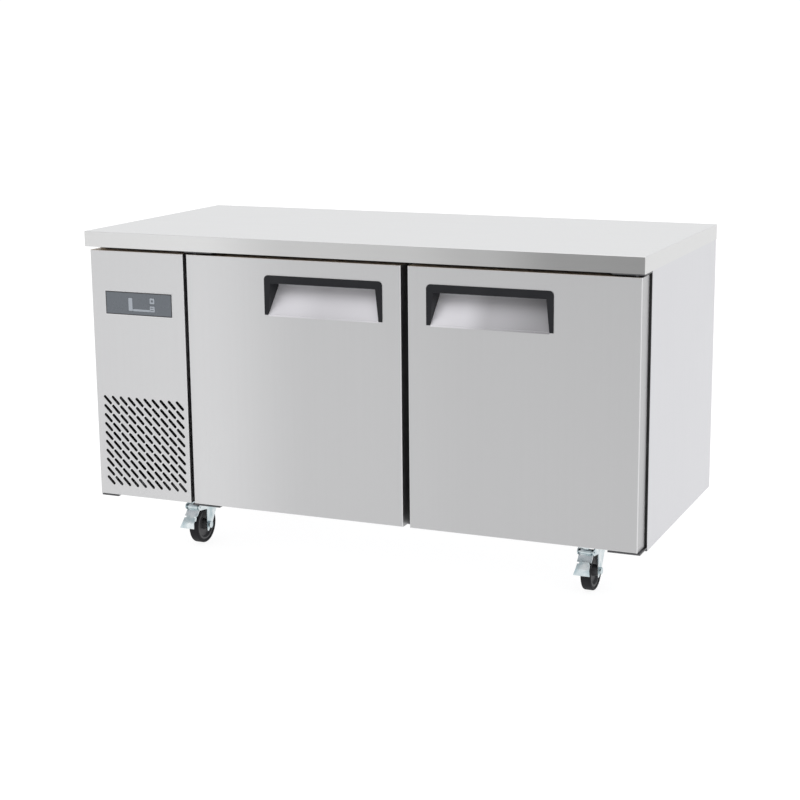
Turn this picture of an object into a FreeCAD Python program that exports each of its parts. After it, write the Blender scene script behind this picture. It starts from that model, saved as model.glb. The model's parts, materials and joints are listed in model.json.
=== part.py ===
import FreeCAD, Part
import math
import os
import re
import Sketcher

# Two-door undercounter refrigerator with a side-mounted compressor, on swivel casters.
# Millimetres. The origin is on the floor under the middle of the worktop, +X is to the right as
# seen from the front, the doors face -Y and +Z is up. The rest state has both doors closed.

DIMS = {
    "overall_width": 1500, "overall_depth": 700, "overall_height": 850, "worktop_thickness": 40,
    "worktop_edge": 1.4,
    "body_bottom": 135, "body_side_inset": 1, "front_inset": 70, "back_inset": 2, "sheet": 1.5,
    "foam": 60, "machine_width": 294,
    "face_inset": 5, "door_bottom": 147, "door_height": 654.5, "door_depth": 60, "front_radius": 3,
    "left_door_start": -452, "left_door_width": 594, "right_door_start": 160, "right_door_width": 583,
    "liner_thickness": 3.5, "gasket_depth": 4.5, "gasket_width": 18, "gasket_edge": 3,
    "hinge_inset": 18, "hinge_setback": 17, "hinge_pin_radius": 4, "running_gap": 0.05,
    "handle_width": 322, "handle_height": 100, "handle_bottom": 660, "handle_depth": 45,
    "handle_side": 49, "handle_flange": 2, "handle_bar": 20, "scoop_rise": 66,
    "panel_start": -738, "panel_width": 276, "panel_depth": 64,
    "grille_pitch": 24.3, "grille_rows": 10, "slot_length": 31, "slot_width": 8,
    "window_width": 198, "window_height": 60, "window_left": -696, "window_bottom": 636, "window_gap": 0.3,
    "mullion_width": 60, "mullion_depth": 60,
    "shelf_depth": 490, "shelf_level": 462, "shelf_wire": 6,
    "wheel_radius": 50, "wheel_width": 26, "caster_trail": 37, "plate_bottom": 132,
    "caster_left": -508, "caster_right": 590, "caster_front": -176, "caster_rear": 235,
    "fork_top": 124, "fork_leg": 2.5, "fork_gap": 38, "axle_radius": 5,
    "pedal_reach": 43, "pedal_pivot": 108, "pedal_pin": 3,
}

doc = FreeCAD.newDocument("UndercounterRefrigerator")
sheet = doc.addObject("Spreadsheet::Sheet", "Dims")
for row, (alias, value) in enumerate(DIMS.items(), start=1):
    sheet.set(f"A{row}", alias)
    sheet.set(f"B{row}", str(value))
    sheet.setAlias(f"B{row}", alias)
doc.recompute()

V = FreeCAD.Vector
X_AXIS = V(1, 0, 0)
Y_AXIS = V(0, 1, 0)
Z_AXIS = V(0, 0, 1)
NODES = []


# ---------------------------------------------------------------- helpers

def formula(text):
    """Turns the dimension names in a formula into references to the spreadsheet."""
    def reference(word):
        return f"Dims.{word.group()}" if word.group() in DIMS else word.group()
    return re.sub(r"[a-z_]{4,}", reference, str(text))


def bind(item, **properties):
    """Binds lengths, radii and angles of a feature to formulas."""
    for name, text in properties.items():
        item.setExpression(name, formula(text))
    return item


def move(item, x=0, y=0, z=0):
    """Places a feature at a point given by three formulas."""
    for axis, text in zip("xyz", (x, y, z)):
        item.setExpression(f"Placement.Base.{axis}", formula(text))
    return item


def turn(item, axis, degrees):
    item.Placement = FreeCAD.Placement(V(), FreeCAD.Rotation(axis, degrees))
    return item


def node(item, label):
    """Names a finished sub-part; its label becomes the file name."""
    item.Label = label
    NODES.append(item)
    return item


def box(x, y, z, length, width, height):
    """A block with its low corner at (x, y, z)."""
    item = bind(doc.addObject("Part::Box", "Block"), Length=length, Width=width, Height=height)
    return move(item, x, y, z)


def rod(axis, x, y, z, radius, length):
    """A cylinder that starts at (x, y, z) and runs along an axis: X, Y or Z."""
    item = bind(doc.addObject("Part::Cylinder", "Rod"), Radius=radius, Height=length)
    if axis == "X":
        turn(item, Y_AXIS, 90)
    if axis == "Y":
        turn(item, X_AXIS, -90)
    return move(item, x, y, z)


def cut(base, *tools):
    """A feature with each tool removed in turn."""
    for tool in tools:
        item = doc.addObject("Part::Cut", "Cut")
        item.Base = base
        item.Tool = tool
        base = item
    return base


def fuse(*shapes):
    item = doc.addObject("Part::MultiFuse", "Fusion")
    item.Shapes = list(shapes)
    item.Refine = True
    return item


def common(*shapes):
    item = doc.addObject("Part::MultiCommon", "Common")
    item.Shapes = list(shapes)
    return item


def group(*shapes):
    """Several separate solids in one sub-part."""
    item = doc.addObject("Part::Compound", "Group")
    item.Links = list(shapes)
    return item


def new_body(x=0, y=0, z=0):
    return move(doc.addObject("PartDesign::Body", "Body"), x, y, z)


def sketch_on(body, role, offset=0):
    """A sketch on one of the body's own origin planes, moved along the plane's normal."""
    plane = next(item for item in body.Origin.OriginFeatures if item.Role == role)
    sketch = body.newObject("Sketcher::SketchObject", "Sketch")
    sketch.AttachmentSupport = (plane, [""])
    sketch.MapMode = "FlatFace"
    sketch.setExpression("AttachmentOffset.Base.z", formula(offset))
    return sketch


def fix(sketch, *constraint, size=None):
    """Adds a constraint, bound to a formula if it has a size."""
    if size is None:
        return sketch.addConstraint(Sketcher.Constraint(*constraint))
    index = sketch.addConstraint(Sketcher.Constraint(*constraint, 10.0))
    sketch.setExpression(f"Constraints[{index}]", formula(size))
    return index


def rectangle(sketch, x, y, width, height):
    """A rectangle from the corner (x, y), each formula zero or more."""
    corners = [V(5, 5), V(15, 5), V(15, 15), V(5, 15)]
    first = sketch.GeometryCount
    for start in range(4):
        sketch.addGeometry(Part.LineSegment(corners[start], corners[(start + 1) % 4]))
    for start in range(4):
        fix(sketch, "Coincident", first + start, 2, first + (start + 1) % 4, 1)
    for start in (0, 2):
        fix(sketch, "Horizontal", first + start)
        fix(sketch, "Vertical", first + start + 1)
    if x == 0:
        fix(sketch, "PointOnObject", first, 1, -2)
    else:
        fix(sketch, "DistanceX", -1, 1, first, 1, size=x)
    if y == 0:
        fix(sketch, "PointOnObject", first, 1, -1)
    else:
        fix(sketch, "DistanceY", -1, 1, first, 1, size=y)
    fix(sketch, "DistanceX", first, 1, first, 2, size=width)
    fix(sketch, "DistanceY", first + 1, 1, first + 1, 2, size=height)


def circle(sketch, x, y, radius):
    """A circle about a fixed point, with its radius bound to a formula."""
    index = sketch.addGeometry(Part.Circle(V(x, y), Z_AXIS, 10))
    fix(sketch, "Radius", index, size=radius)
    if x == 0 and y == 0:
        fix(sketch, "Coincident", index, 3, -1, 1)


def outline(sketch, points):
    """A closed run of straight lines through fixed points. A point with a third value bulges to the
    next one by that much, as an arc."""
    for start, point in enumerate(points):
        a = V(point[0], point[1])
        b = V(*points[(start + 1) % len(points)][:2])
        if len(point) == 3:
            across = (b - a).cross(Z_AXIS).normalize()
            sketch.addGeometry(Part.Arc(a, (a + b) / 2 + across * point[2], b))
        else:
            sketch.addGeometry(Part.LineSegment(a, b))


def pad(body, sketch, length):
    item = body.newObject("PartDesign::Pad", "Pad")
    item.Profile = sketch
    sketch.Visibility = False
    return bind(item, Length=length)


def pocket(body, sketch, length):
    """Removes the sketch's area on the side that its normal points to."""
    item = body.newObject("PartDesign::Pocket", "Pocket")
    item.Profile = sketch
    item.Reversed = True
    sketch.Visibility = False
    return bind(item, Length=length)


def revolve(body, sketch):
    """Turns a profile about its sketch's vertical axis."""
    item = body.newObject("PartDesign::Revolution", "Revolution")
    item.Profile = sketch
    item.ReferenceAxis = (sketch, ["V_Axis"])
    item.Angle = 360
    sketch.Visibility = False
    return item


def repeat(body, feature, sketch, axis, span, count):
    """Repeats a feature in a row along a sketch axis, over a span."""
    item = body.newObject("PartDesign::LinearPattern", "Row")
    item.Originals = [feature]
    item.Direction = (sketch, [axis])
    body.Tip = item
    bind(item, Length=span)
    item.Occurrences = count
    return item


def round_edges(body, radius, keep):
    """Fillets the straight edges of the body's last feature that keep(middle, direction) picks."""
    doc.recompute()
    names = []
    for index, edge in enumerate(body.Tip.Shape.Edges, start=1):
        if edge.Curve.TypeId != "Part::GeomLine":
            continue
        if keep(edge.CenterOfMass, edge.tangentAt(edge.FirstParameter)):
            names.append(f"Edge{index}")
    base = body.Tip
    item = body.newObject("PartDesign::Fillet", "Rounding")
    item.Base = (base, names)
    return bind(item, Radius=radius)


def tube(points, radius, bend):
    """A round tube along straight runs with rounded corners."""
    edges = []
    start = V(*points[0])
    for corner, after in zip(points[1:-1], points[2:]):
        corner = V(*corner)
        into = (corner - start).normalize()
        away = (V(*after) - corner).normalize()
        enter = corner - into * bend
        leave = corner + away * bend
        middle = corner + (away - into) * bend * (1 - math.sqrt(0.5))
        edges.append(Part.LineSegment(start, enter).toShape())
        edges.append(Part.Arc(enter, middle, leave).toShape())
        start = leave
    edges.append(Part.LineSegment(start, V(*points[-1])).toShape())
    heading = V(*points[1]) - V(*points[0])
    ring = Part.Wire([Part.Circle(V(*points[0]), heading, radius).toShape()])
    item = doc.addObject("Part::Feature", "Tube")
    item.Shape = Part.Wire(edges).makePipeShell([ring], True, False)
    return item


D = DIMS
HALF_WIDTH = D["overall_width"] / 2
HALF_DEPTH = D["overall_depth"] / 2
FACE = -HALF_DEPTH + D["face_inset"]
FRAME_FACE = -HALF_DEPTH + D["front_inset"]
BODY_TOP = D["overall_height"] - D["worktop_thickness"]
DOOR_TOP = D["door_bottom"] + D["door_height"]
BODY_LEFT = -HALF_WIDTH + D["body_side_inset"]
PARTITION = BODY_LEFT + D["machine_width"]
LEFT_DOOR_END = D["left_door_start"] + D["left_door_width"]
RIGHT_DOOR_END = D["right_door_start"] + D["right_door_width"]
MULLION_CENTRE = (LEFT_DOOR_END + D["right_door_start"]) / 2

# ---------------------------------------------------------------- worktop

top = new_body("-overall_width/2", "-overall_depth/2", "overall_height - worktop_thickness")
plan = sketch_on(top, "XY_Plane")
rectangle(plan, 0, 0, "overall_width", "overall_depth")
pad(top, plan, "worktop_thickness")
round_edges(top, "worktop_edge", lambda at, way: at.z > D["worktop_thickness"] - 1 or abs(way.z) > 0.9)
hollow = sketch_on(top, "XY_Plane")
rectangle(hollow, "sheet", "sheet", "overall_width - 2*sheet", "overall_depth - 2*sheet")
pocket(top, hollow, "worktop_thickness - sheet")
node(top, "worktop")

node(box("-overall_width/2 + sheet", "-overall_depth/2 + sheet", "overall_height - worktop_thickness",
         "overall_width - 2*sheet", "overall_depth - 2*sheet", "worktop_thickness - sheet"), "worktop_core")

# ---------------------------------------------------------------- cabinet

BODY_WIDTH = "(overall_width - 2*body_side_inset)"
BODY_DEPTH = "(overall_depth - front_inset - back_inset)"
BODY_HEIGHT = "(overall_height - worktop_thickness - body_bottom)"
PIPE_HOLE_Y = 200
PIPE_HOLE_Z = 700
PIPE_HOLE_RADIUS = 15

shell = new_body("-overall_width/2 + body_side_inset", "-overall_depth/2 + front_inset", "body_bottom")
plan = sketch_on(shell, "XY_Plane")
rectangle(plan, 0, 0, BODY_WIDTH, BODY_DEPTH)
pad(shell, plan, BODY_HEIGHT)
# The machine compartment is open at the front and at the back; the cold side is closed at the back.
machine_room = sketch_on(shell, "XY_Plane", "sheet")
rectangle(machine_room, "sheet", 0, "machine_width - 2*sheet", BODY_DEPTH)
pocket(shell, machine_room, f"{BODY_HEIGHT} - 2*sheet")
cold_side = sketch_on(shell, "XY_Plane", "sheet")
rectangle(cold_side, "machine_width", 0, f"{BODY_WIDTH} - machine_width - sheet", f"{BODY_DEPTH} - sheet")
pocket(shell, cold_side, f"{BODY_HEIGHT} - 2*sheet")
node(cut(shell, rod("X", PARTITION - 5, PIPE_HOLE_Y, PIPE_HOLE_Z, PIPE_HOLE_RADIUS, 10)), "cabinet_shell")

COLD_LEFT = PARTITION
COLD_RIGHT = HALF_WIDTH - D["body_side_inset"] - D["sheet"]
LINER_LEFT = PARTITION + D["foam"]
LINER_RIGHT = COLD_RIGHT - D["foam"]
LINER_BACK = HALF_DEPTH - D["back_inset"] - D["sheet"] - D["foam"]
LINER_BOTTOM = D["body_bottom"] + D["sheet"] + D["foam"]
LINER_TOP = BODY_TOP - D["sheet"] - D["foam"]
SHEET = D["sheet"]
FRAME_BACK = FRAME_FACE + SHEET

frame_blank = box(COLD_LEFT, FRAME_FACE, D["body_bottom"] + SHEET,
                  COLD_RIGHT - COLD_LEFT, "sheet", BODY_TOP - D["body_bottom"] - 2 * SHEET)
openings = []
for start, end in ((LINER_LEFT + SHEET, MULLION_CENTRE - D["mullion_width"] / 2),
                   (MULLION_CENTRE + D["mullion_width"] / 2, LINER_RIGHT - SHEET)):
    openings.append(box(start, FRAME_FACE - 1, LINER_BOTTOM + SHEET,
                        end - start, SHEET + 2, LINER_TOP - LINER_BOTTOM - 2 * SHEET))
node(cut(frame_blank, *openings), "front_frame")

liner_outside = box(LINER_LEFT, FRAME_BACK, LINER_BOTTOM,
                    LINER_RIGHT - LINER_LEFT, LINER_BACK - FRAME_BACK, LINER_TOP - LINER_BOTTOM)
liner_inside = box(LINER_LEFT + SHEET, FRAME_BACK - 1, LINER_BOTTOM + SHEET,
                   LINER_RIGHT - LINER_LEFT - 2 * SHEET, LINER_BACK - FRAME_BACK + 1 - SHEET,
                   LINER_TOP - LINER_BOTTOM - 2 * SHEET)
liner_hole = rod("X", LINER_LEFT - 5, PIPE_HOLE_Y, PIPE_HOLE_Z, PIPE_HOLE_RADIUS, 10)
node(cut(liner_outside, liner_inside, liner_hole), "cabinet_liner")

foam_block = box(COLD_LEFT, FRAME_BACK, D["body_bottom"] + SHEET, COLD_RIGHT - COLD_LEFT,
                 HALF_DEPTH - D["back_inset"] - SHEET - FRAME_BACK, BODY_TOP - D["body_bottom"] - 2 * SHEET)
foam_space = box(LINER_LEFT, FRAME_BACK - 1, LINER_BOTTOM, LINER_RIGHT - LINER_LEFT,
                 LINER_BACK - FRAME_BACK + 1, LINER_TOP - LINER_BOTTOM)
foam_hole = rod("X", COLD_LEFT - 5, PIPE_HOLE_Y, PIPE_HOLE_Z, PIPE_HOLE_RADIUS, D["foam"] + 10)
node(cut(foam_block, foam_space, foam_hole), "cabinet_insulation")

post = new_body(f"{MULLION_CENTRE} - mullion_width/2", FRAME_BACK, LINER_BOTTOM + SHEET)
plan = sketch_on(post, "XY_Plane")
rectangle(plan, 0, 0, "mullion_width", "mullion_depth")
rectangle(plan, "sheet", "sheet", "mullion_width - 2*sheet", "mullion_depth - 2*sheet")
pad(post, plan, LINER_TOP - LINER_BOTTOM - 2 * SHEET)
post_face = box(f"{MULLION_CENTRE} - mullion_width/2", FRAME_FACE, LINER_BOTTOM + SHEET,
                "mullion_width", "sheet", LINER_TOP - LINER_BOTTOM - 2 * SHEET)
node(cut(post, post_face), "mullion")

# ---------------------------------------------------------------- machine side: panels and base

panel = new_body("panel_start", "-overall_depth/2 + face_inset + panel_depth", "door_bottom")
face = sketch_on(panel, "XZ_Plane")
rectangle(face, 0, 0, "panel_width", "door_height")
pad(panel, face, "panel_depth")
round_edges(panel, "front_radius", lambda at, way: abs(way.z) > 0.9 and at.y < 1 - D["panel_depth"])
back = sketch_on(panel, "XZ_Plane")
rectangle(back, "sheet", "sheet", "panel_width - 2*sheet", "door_height - 2*sheet")
pocket(panel, back, "panel_depth - sheet")
window_hole = sketch_on(panel, "XZ_Plane")
rectangle(window_hole, "window_left - panel_start - window_gap", "window_bottom - door_bottom - window_gap",
          "window_width + 2*window_gap", "window_height + 2*window_gap")
pocket(panel, window_hole, "panel_depth + 1")
# One row of slots, each leaning 45 degrees with its upper end to the left, repeated upwards.
FIRST_SLOT_X = 34
FIRST_SLOT_Z = 39
slots = sketch_on(panel, "XZ_Plane")
reach = (D["slot_length"] - D["slot_width"]) / 2
along = V(1, -1).normalize() * reach
across = V(1, 1).normalize() * D["slot_width"] / 2
for column in range(D["grille_rows"]):
    middle = V(FIRST_SLOT_X + column * D["grille_pitch"], FIRST_SLOT_Z)
    upper = middle - along
    lower = middle + along
    corners = [upper + across, lower + across, lower - across, upper - across]
    outline(slots, [(at.x, at.y, -D["slot_width"] / 2) if index % 2 else (at.x, at.y)
                    for index, at in enumerate(corners)])
slot_row = pocket(panel, slots, "panel_depth + 1")
repeat(panel, slot_row, slots, "V_Axis", "grille_pitch*(grille_rows - 1)", D["grille_rows"])
node(panel, "machine_front_panel")

BACK_FACE = HALF_DEPTH - D["back_inset"]
LOUVRES = 14
LOUVRE_PITCH = 20
cover = new_body(BODY_LEFT + 2, BACK_FACE + SHEET, D["body_bottom"] + 2)
face = sketch_on(cover, "XZ_Plane")
rectangle(face, 0, 0, "machine_width - 4", f"{BODY_HEIGHT} - 4")
pad(cover, face, "sheet")
louvre = sketch_on(cover, "XZ_Plane")
rectangle(louvre, 45, 60, "machine_width - 94", 8)
louvre_cut = pocket(cover, louvre, "sheet + 1")
repeat(cover, louvre_cut, louvre, "V_Axis", LOUVRE_PITCH * (LOUVRES - 1), LOUVRES)
node(cover, "machine_back_panel")

BASE_TOP = D["body_bottom"] + SHEET + 2
base_plate = box(BODY_LEFT + 12, FRAME_FACE + 16, D["body_bottom"] + SHEET, D["machine_width"] - 24, 590, 20)
base_space = box(BODY_LEFT + 14, FRAME_FACE + 15, BASE_TOP, D["machine_width"] - 28, 592, 30)
node(cut(base_plate, base_space), "machine_base")

# ---------------------------------------------------------------- controller

WINDOW_FRONT = FACE - 0.8
WINDOW_DEPTH = 2.5
KEY_FRONT = WINDOW_FRONT - 0.8
KEY_DEPTH = 2.2
# label: (left, bottom, width, height) of the key's face
KEYS = {
    "key_set": (-627, 647, 12, 34),
    "key_up": (-563, 668, 14, 15),
    "key_down": (-563, 647, 14, 15),
}
window = new_body("window_left", WINDOW_FRONT + WINDOW_DEPTH, "window_bottom")
face = sketch_on(window, "XZ_Plane")
rectangle(face, 0, 0, "window_width", "window_height")
pad(window, face, WINDOW_DEPTH)
round_edges(window, 3, lambda at, way: abs(way.y) > 0.9)
key_holes = sketch_on(window, "XZ_Plane")
for left, bottom, width, height in KEYS.values():
    rectangle(key_holes, f"{left} - window_left - window_gap", f"{bottom} - window_bottom - window_gap",
              f"{width} + 2*window_gap", f"{height} + 2*window_gap")
pocket(window, key_holes, WINDOW_DEPTH + 1)
node(window, "display_window")

for label, (left, bottom, width, height) in KEYS.items():
    key = new_body(left, KEY_FRONT + KEY_DEPTH, bottom)
    face = sketch_on(key, "XZ_Plane")
    rectangle(face, 0, 0, width, height)
    pad(key, face, KEY_DEPTH)
    round_edges(key, 1.5, lambda at, way: abs(way.y) > 0.9)
    node(key, label)

HOUSING_FRONT = WINDOW_FRONT + WINDOW_DEPTH
HOUSING_DEPTH = 50
housing = box("window_left + 4", HOUSING_FRONT, "window_bottom + 3", "window_width - 8", HOUSING_DEPTH,
              "window_height - 6")
terminal_strip = box("window_left + 30", HOUSING_FRONT + HOUSING_DEPTH, "window_bottom + 12",
                     "window_width - 60", 10, 20)
node(fuse(housing, terminal_strip), "controller_housing")

# ---------------------------------------------------------------- cooling machine

COIL_WIDTH = 240
COIL_LEFT = -720
COIL_BOTTOM = 172
COIL_HEIGHT = 246
COIL_FRONT = -252
COIL_DEPTH = 56
FAN_X = COIL_LEFT + COIL_WIDTH / 2
FAN_Z = COIL_BOTTOM + COIL_HEIGHT / 2
FAN_RADIUS = 102
SHROUD_DEPTH = 34
COIL_CAP = 6
COIL_END = 8
FIN_REACH = 0.4
FIN_GAP = 0.6
BEND_REACH = 14
BEND_TUBE_RADIUS = 4
BEND_RADIUS = 9


def finned_block(x, y, z, length, width, height, fin_pitch):
    """A coil: a block with deep fin slots from both broad sides, the slots one above another."""
    coil = new_body(x, y, z)
    plan = sketch_on(coil, "XY_Plane")
    rectangle(plan, 0, 0, length, width)
    pad(coil, plan, height)
    count = int((height - 2 * COIL_CAP) / fin_pitch)
    slot_plan = sketch_on(coil, "XY_Plane", COIL_CAP)
    rectangle(slot_plan, COIL_END, 0, length - 2 * COIL_END, width * FIN_REACH)
    rectangle(slot_plan, COIL_END, width * (1 - FIN_REACH), length - 2 * COIL_END, width * FIN_REACH)
    gaps = pocket(coil, slot_plan, fin_pitch * FIN_GAP)
    repeat(coil, gaps, slot_plan, "N_Axis", fin_pitch * (count - 1), count)
    return coil


def return_bends(x, y, z, span, pitch, count, side):
    """The U-bends at the end of a coil; side is -1 at the left end and 1 at the right end."""
    bends = []
    for index in range(count):
        low = z + index * pitch
        start = V(x, y, low)
        out = V(side * BEND_REACH, 0, 0)
        up = V(0, 0, span)
        route = [start, start + out, start + out + up, start + up]
        bends.append(tube([tuple(point) for point in route], BEND_TUBE_RADIUS, BEND_RADIUS))
    return bends


condenser = finned_block(COIL_LEFT, COIL_FRONT, COIL_BOTTOM, COIL_WIDTH, COIL_DEPTH, COIL_HEIGHT, 6.5)
bends = return_bends(COIL_LEFT + COIL_WIDTH, COIL_FRONT + COIL_DEPTH / 2, COIL_BOTTOM + 20, 25, 50, 4, 1)
node(fuse(condenser, *bends), "condenser_coil")

SHROUD_FRONT = COIL_FRONT + COIL_DEPTH
shroud = new_body(COIL_LEFT, SHROUD_FRONT + SHROUD_DEPTH, COIL_BOTTOM)
face = sketch_on(shroud, "XZ_Plane")
rectangle(face, 0, 0, COIL_WIDTH, COIL_HEIGHT)
pad(shroud, face, SHROUD_DEPTH)
round_hole = sketch_on(shroud, "XZ_Plane")
circle(round_hole, COIL_WIDTH / 2, COIL_HEIGHT / 2, FAN_RADIUS)
pocket(shroud, round_hole, SHROUD_DEPTH + 1)
stays = []
for side in (-1, 1):
    stays.append(box(COIL_LEFT, SHROUD_FRONT + SHROUD_DEPTH, FAN_Z - 6 + side * 36, COIL_WIDTH, 3, 12))
feet = []
for x in (COIL_LEFT + 4, COIL_LEFT + COIL_WIDTH - 34):
    feet.append(box(x, SHROUD_FRONT, BASE_TOP, 30, SHROUD_DEPTH, COIL_BOTTOM - BASE_TOP))
node(fuse(shroud, *stays, *feet), "condenser_fan_shroud")


BLADE_HALF_THICKNESS = 0.8
HUB_SHARE = 0.26


def fan(label, axis, x, y, z, radius, depth, shaft_radius, blades):
    """A hub with twisted blades about X or Y, bored to run on its shaft."""
    wheel = doc.addObject("Part::Feature", "Blades")
    hub_radius = radius * HUB_SHARE
    solids = [Part.makeCylinder(hub_radius, depth)]
    for index in range(blades):
        sections = []
        for distance, lean in ((hub_radius - 3, 42), (radius * 0.6, 32), (radius, 24)):
            lean = math.radians(lean)
            half_chord = (depth / 2 - 1) / math.sin(lean)
            chord = V(0, math.cos(lean), math.sin(lean)) * half_chord
            normal = V(0, -math.sin(lean), math.cos(lean)) * BLADE_HALF_THICKNESS
            middle = V(distance, 0, depth / 2)
            corners = [middle - chord - normal, middle + chord - normal,
                       middle + chord + normal, middle - chord + normal]
            sections.append(Part.makePolygon(corners + corners[:1]))
        blade = Part.makeLoft(sections, True)
        blade.rotate(V(), Z_AXIS, 360 * index / blades)
        solids.append(blade)
    shape = solids[0].multiFuse(solids[1:])
    shape = shape.common(Part.makeCylinder(radius, depth))
    wheel.Shape = shape.cut(Part.makeCylinder(shaft_radius + D["running_gap"], depth))
    turn(wheel, Y_AXIS if axis == "X" else X_AXIS, 90 if axis == "X" else -90)
    move(wheel, x, y, z)
    return node(wheel, label)


fan("condenser_fan_blade", "Y", FAN_X, SHROUD_FRONT + 6, FAN_Z, FAN_RADIUS - 6, 24, 4, 5)
motor_can = rod("Y", FAN_X, SHROUD_FRONT + SHROUD_DEPTH + 3, FAN_Z, 42, 55)
motor_nose = rod("Y", FAN_X, SHROUD_FRONT + SHROUD_DEPTH, FAN_Z, 28, 3)
motor_shaft = rod("Y", FAN_X, SHROUD_FRONT + 4, FAN_Z, 4, SHROUD_DEPTH)
node(fuse(motor_can, motor_nose, motor_shaft), "condenser_fan_motor")

POT_X = -598
POT_Y = 190
POT_RADIUS = 80
POT_RUBBER = 14
POT_FOOT = BASE_TOP + POT_RUBBER
POT_HEIGHT = 178
POT_SEAM = 96
SEAM_PROUD = 5
DOME_RADIUS = 38
STUB_RADIUS = 6.5
STUB_LENGTH = 40
pot = new_body(POT_X, POT_Y, POT_FOOT)
profile = sketch_on(pot, "XZ_Plane")
dome_bulge = DOME_RADIUS * (1 - math.sqrt(0.5))
seam_radius = POT_RADIUS + SEAM_PROUD
outline(profile, [(0, 0), (POT_RADIUS - 24, 0), (POT_RADIUS, 24), (POT_RADIUS, POT_SEAM),
                  (seam_radius, POT_SEAM), (seam_radius, POT_SEAM + 6), (POT_RADIUS, POT_SEAM + 6),
                  (POT_RADIUS, POT_HEIGHT - DOME_RADIUS, dome_bulge), (POT_RADIUS - DOME_RADIUS, POT_HEIGHT),
                  (0, POT_HEIGHT)])
revolve(pot, profile)
foot_plate = box(POT_X - 92, POT_Y - 70, POT_FOOT - 2, 184, 140, 4)
terminal_box = box(POT_X - 30, POT_Y - POT_RADIUS - 22, POT_FOOT + 40, 60, 40, 60)
mounts = []
for dx in (-80, 80):
    for dy in (-58, 58):
        mounts.append(rod("Z", POT_X + dx, POT_Y + dy, BASE_TOP, 9, POT_RUBBER))
STUB_TOP = POT_FOOT + POT_HEIGHT - 30 + STUB_LENGTH
stubs = []
for x in (POT_X - 40, POT_X + 40):
    stubs.append(rod("Z", x, POT_Y, STUB_TOP - STUB_LENGTH, STUB_RADIUS, STUB_LENGTH))
node(fuse(pot, foot_plate, terminal_box, *mounts, *stubs), "compressor")

COIL_TOP = COIL_BOTTOM + COIL_HEIGHT
COIL_MIDDLE_Y = COIL_FRONT + COIL_DEPTH / 2
SUCTION_X = POT_X + 40
SUCTION_Z = PIPE_HOLE_Z - 6
DISCHARGE_X = POT_X - 40
DISCHARGE_Z = 440
DRIER = (-500, 60, 520)
DRIER_LENGTH = 90
CAPILLARY_Z = PIPE_HOLE_Z + 8
PIPE_END = LINER_LEFT + 12
suction_line = tube([(SUCTION_X, POT_Y, STUB_TOP), (SUCTION_X, POT_Y, SUCTION_Z),
                     (SUCTION_X, PIPE_HOLE_Y + 60, SUCTION_Z), (PARTITION - 40, PIPE_HOLE_Y + 60, SUCTION_Z),
                     (PARTITION - 40, PIPE_HOLE_Y, SUCTION_Z), (PIPE_END, PIPE_HOLE_Y, SUCTION_Z)], 6, 12)
discharge_line = tube([(DISCHARGE_X, POT_Y, STUB_TOP), (DISCHARGE_X, POT_Y, DISCHARGE_Z),
                       (COIL_LEFT + 30, POT_Y, DISCHARGE_Z), (COIL_LEFT + 30, COIL_MIDDLE_Y, DISCHARGE_Z),
                       (COIL_LEFT + 30, COIL_MIDDLE_Y, COIL_TOP)], 4, 12)
liquid_line = tube([(DRIER[0], COIL_MIDDLE_Y, COIL_TOP), (DRIER[0], COIL_MIDDLE_Y, 460),
                    (DRIER[0], DRIER[1], 460), DRIER], 3, 10)
drier = rod("Z", *DRIER, 13, DRIER_LENGTH)
capillary = tube([(DRIER[0], DRIER[1], DRIER[2] + DRIER_LENGTH), (DRIER[0], DRIER[1], CAPILLARY_Z),
                  (DRIER[0], PIPE_HOLE_Y, CAPILLARY_Z), (PIPE_END, PIPE_HOLE_Y, CAPILLARY_Z)], 2, 10)
node(group(suction_line, discharge_line, liquid_line, drier, capillary), "refrigerant_lines")

condensate = box(BODY_LEFT + 40, -110, BASE_TOP, 210, 170, 24)
node(cut(condensate, box(BODY_LEFT + 42, -108, BASE_TOP + 2, 206, 166, 30)), "condensate_tray")

# ---------------------------------------------------------------- evaporator, inside the cold side

COLD_WALL = LINER_LEFT + SHEET
COVER_DEPTH = 64
COVER_FRONT = -190
COVER_WIDTH = 440
COVER_BOTTOM = 232
COVER_HEIGHT = 490
EVAP_FAN_Y = -110
EVAP_FAN_Z = 480
EVAP_FAN_RADIUS = 70
AIR_SLOTS = 12
AIR_SLOT_PITCH = 32

casing = box(COLD_WALL, COVER_FRONT, COVER_BOTTOM, COVER_DEPTH, COVER_WIDTH, COVER_HEIGHT)
casing_space = box(COLD_WALL - 1, COVER_FRONT + SHEET, COVER_BOTTOM + SHEET, COVER_DEPTH + 1 - SHEET,
                   COVER_WIDTH - 2 * SHEET, COVER_HEIGHT - 2 * SHEET)
outlet = rod("X", COLD_WALL + COVER_DEPTH - 5, EVAP_FAN_Y, EVAP_FAN_Z, EVAP_FAN_RADIUS + 4, 10)
air_slots = []
for index in range(AIR_SLOTS):
    slot_bottom = COVER_BOTTOM + 60 + index * AIR_SLOT_PITCH
    air_slots.append(box(COLD_WALL + COVER_DEPTH - 5, 30, slot_bottom, 10, 170, 10))
node(cut(casing, casing_space, outlet, *air_slots), "evaporator_cover")

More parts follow.
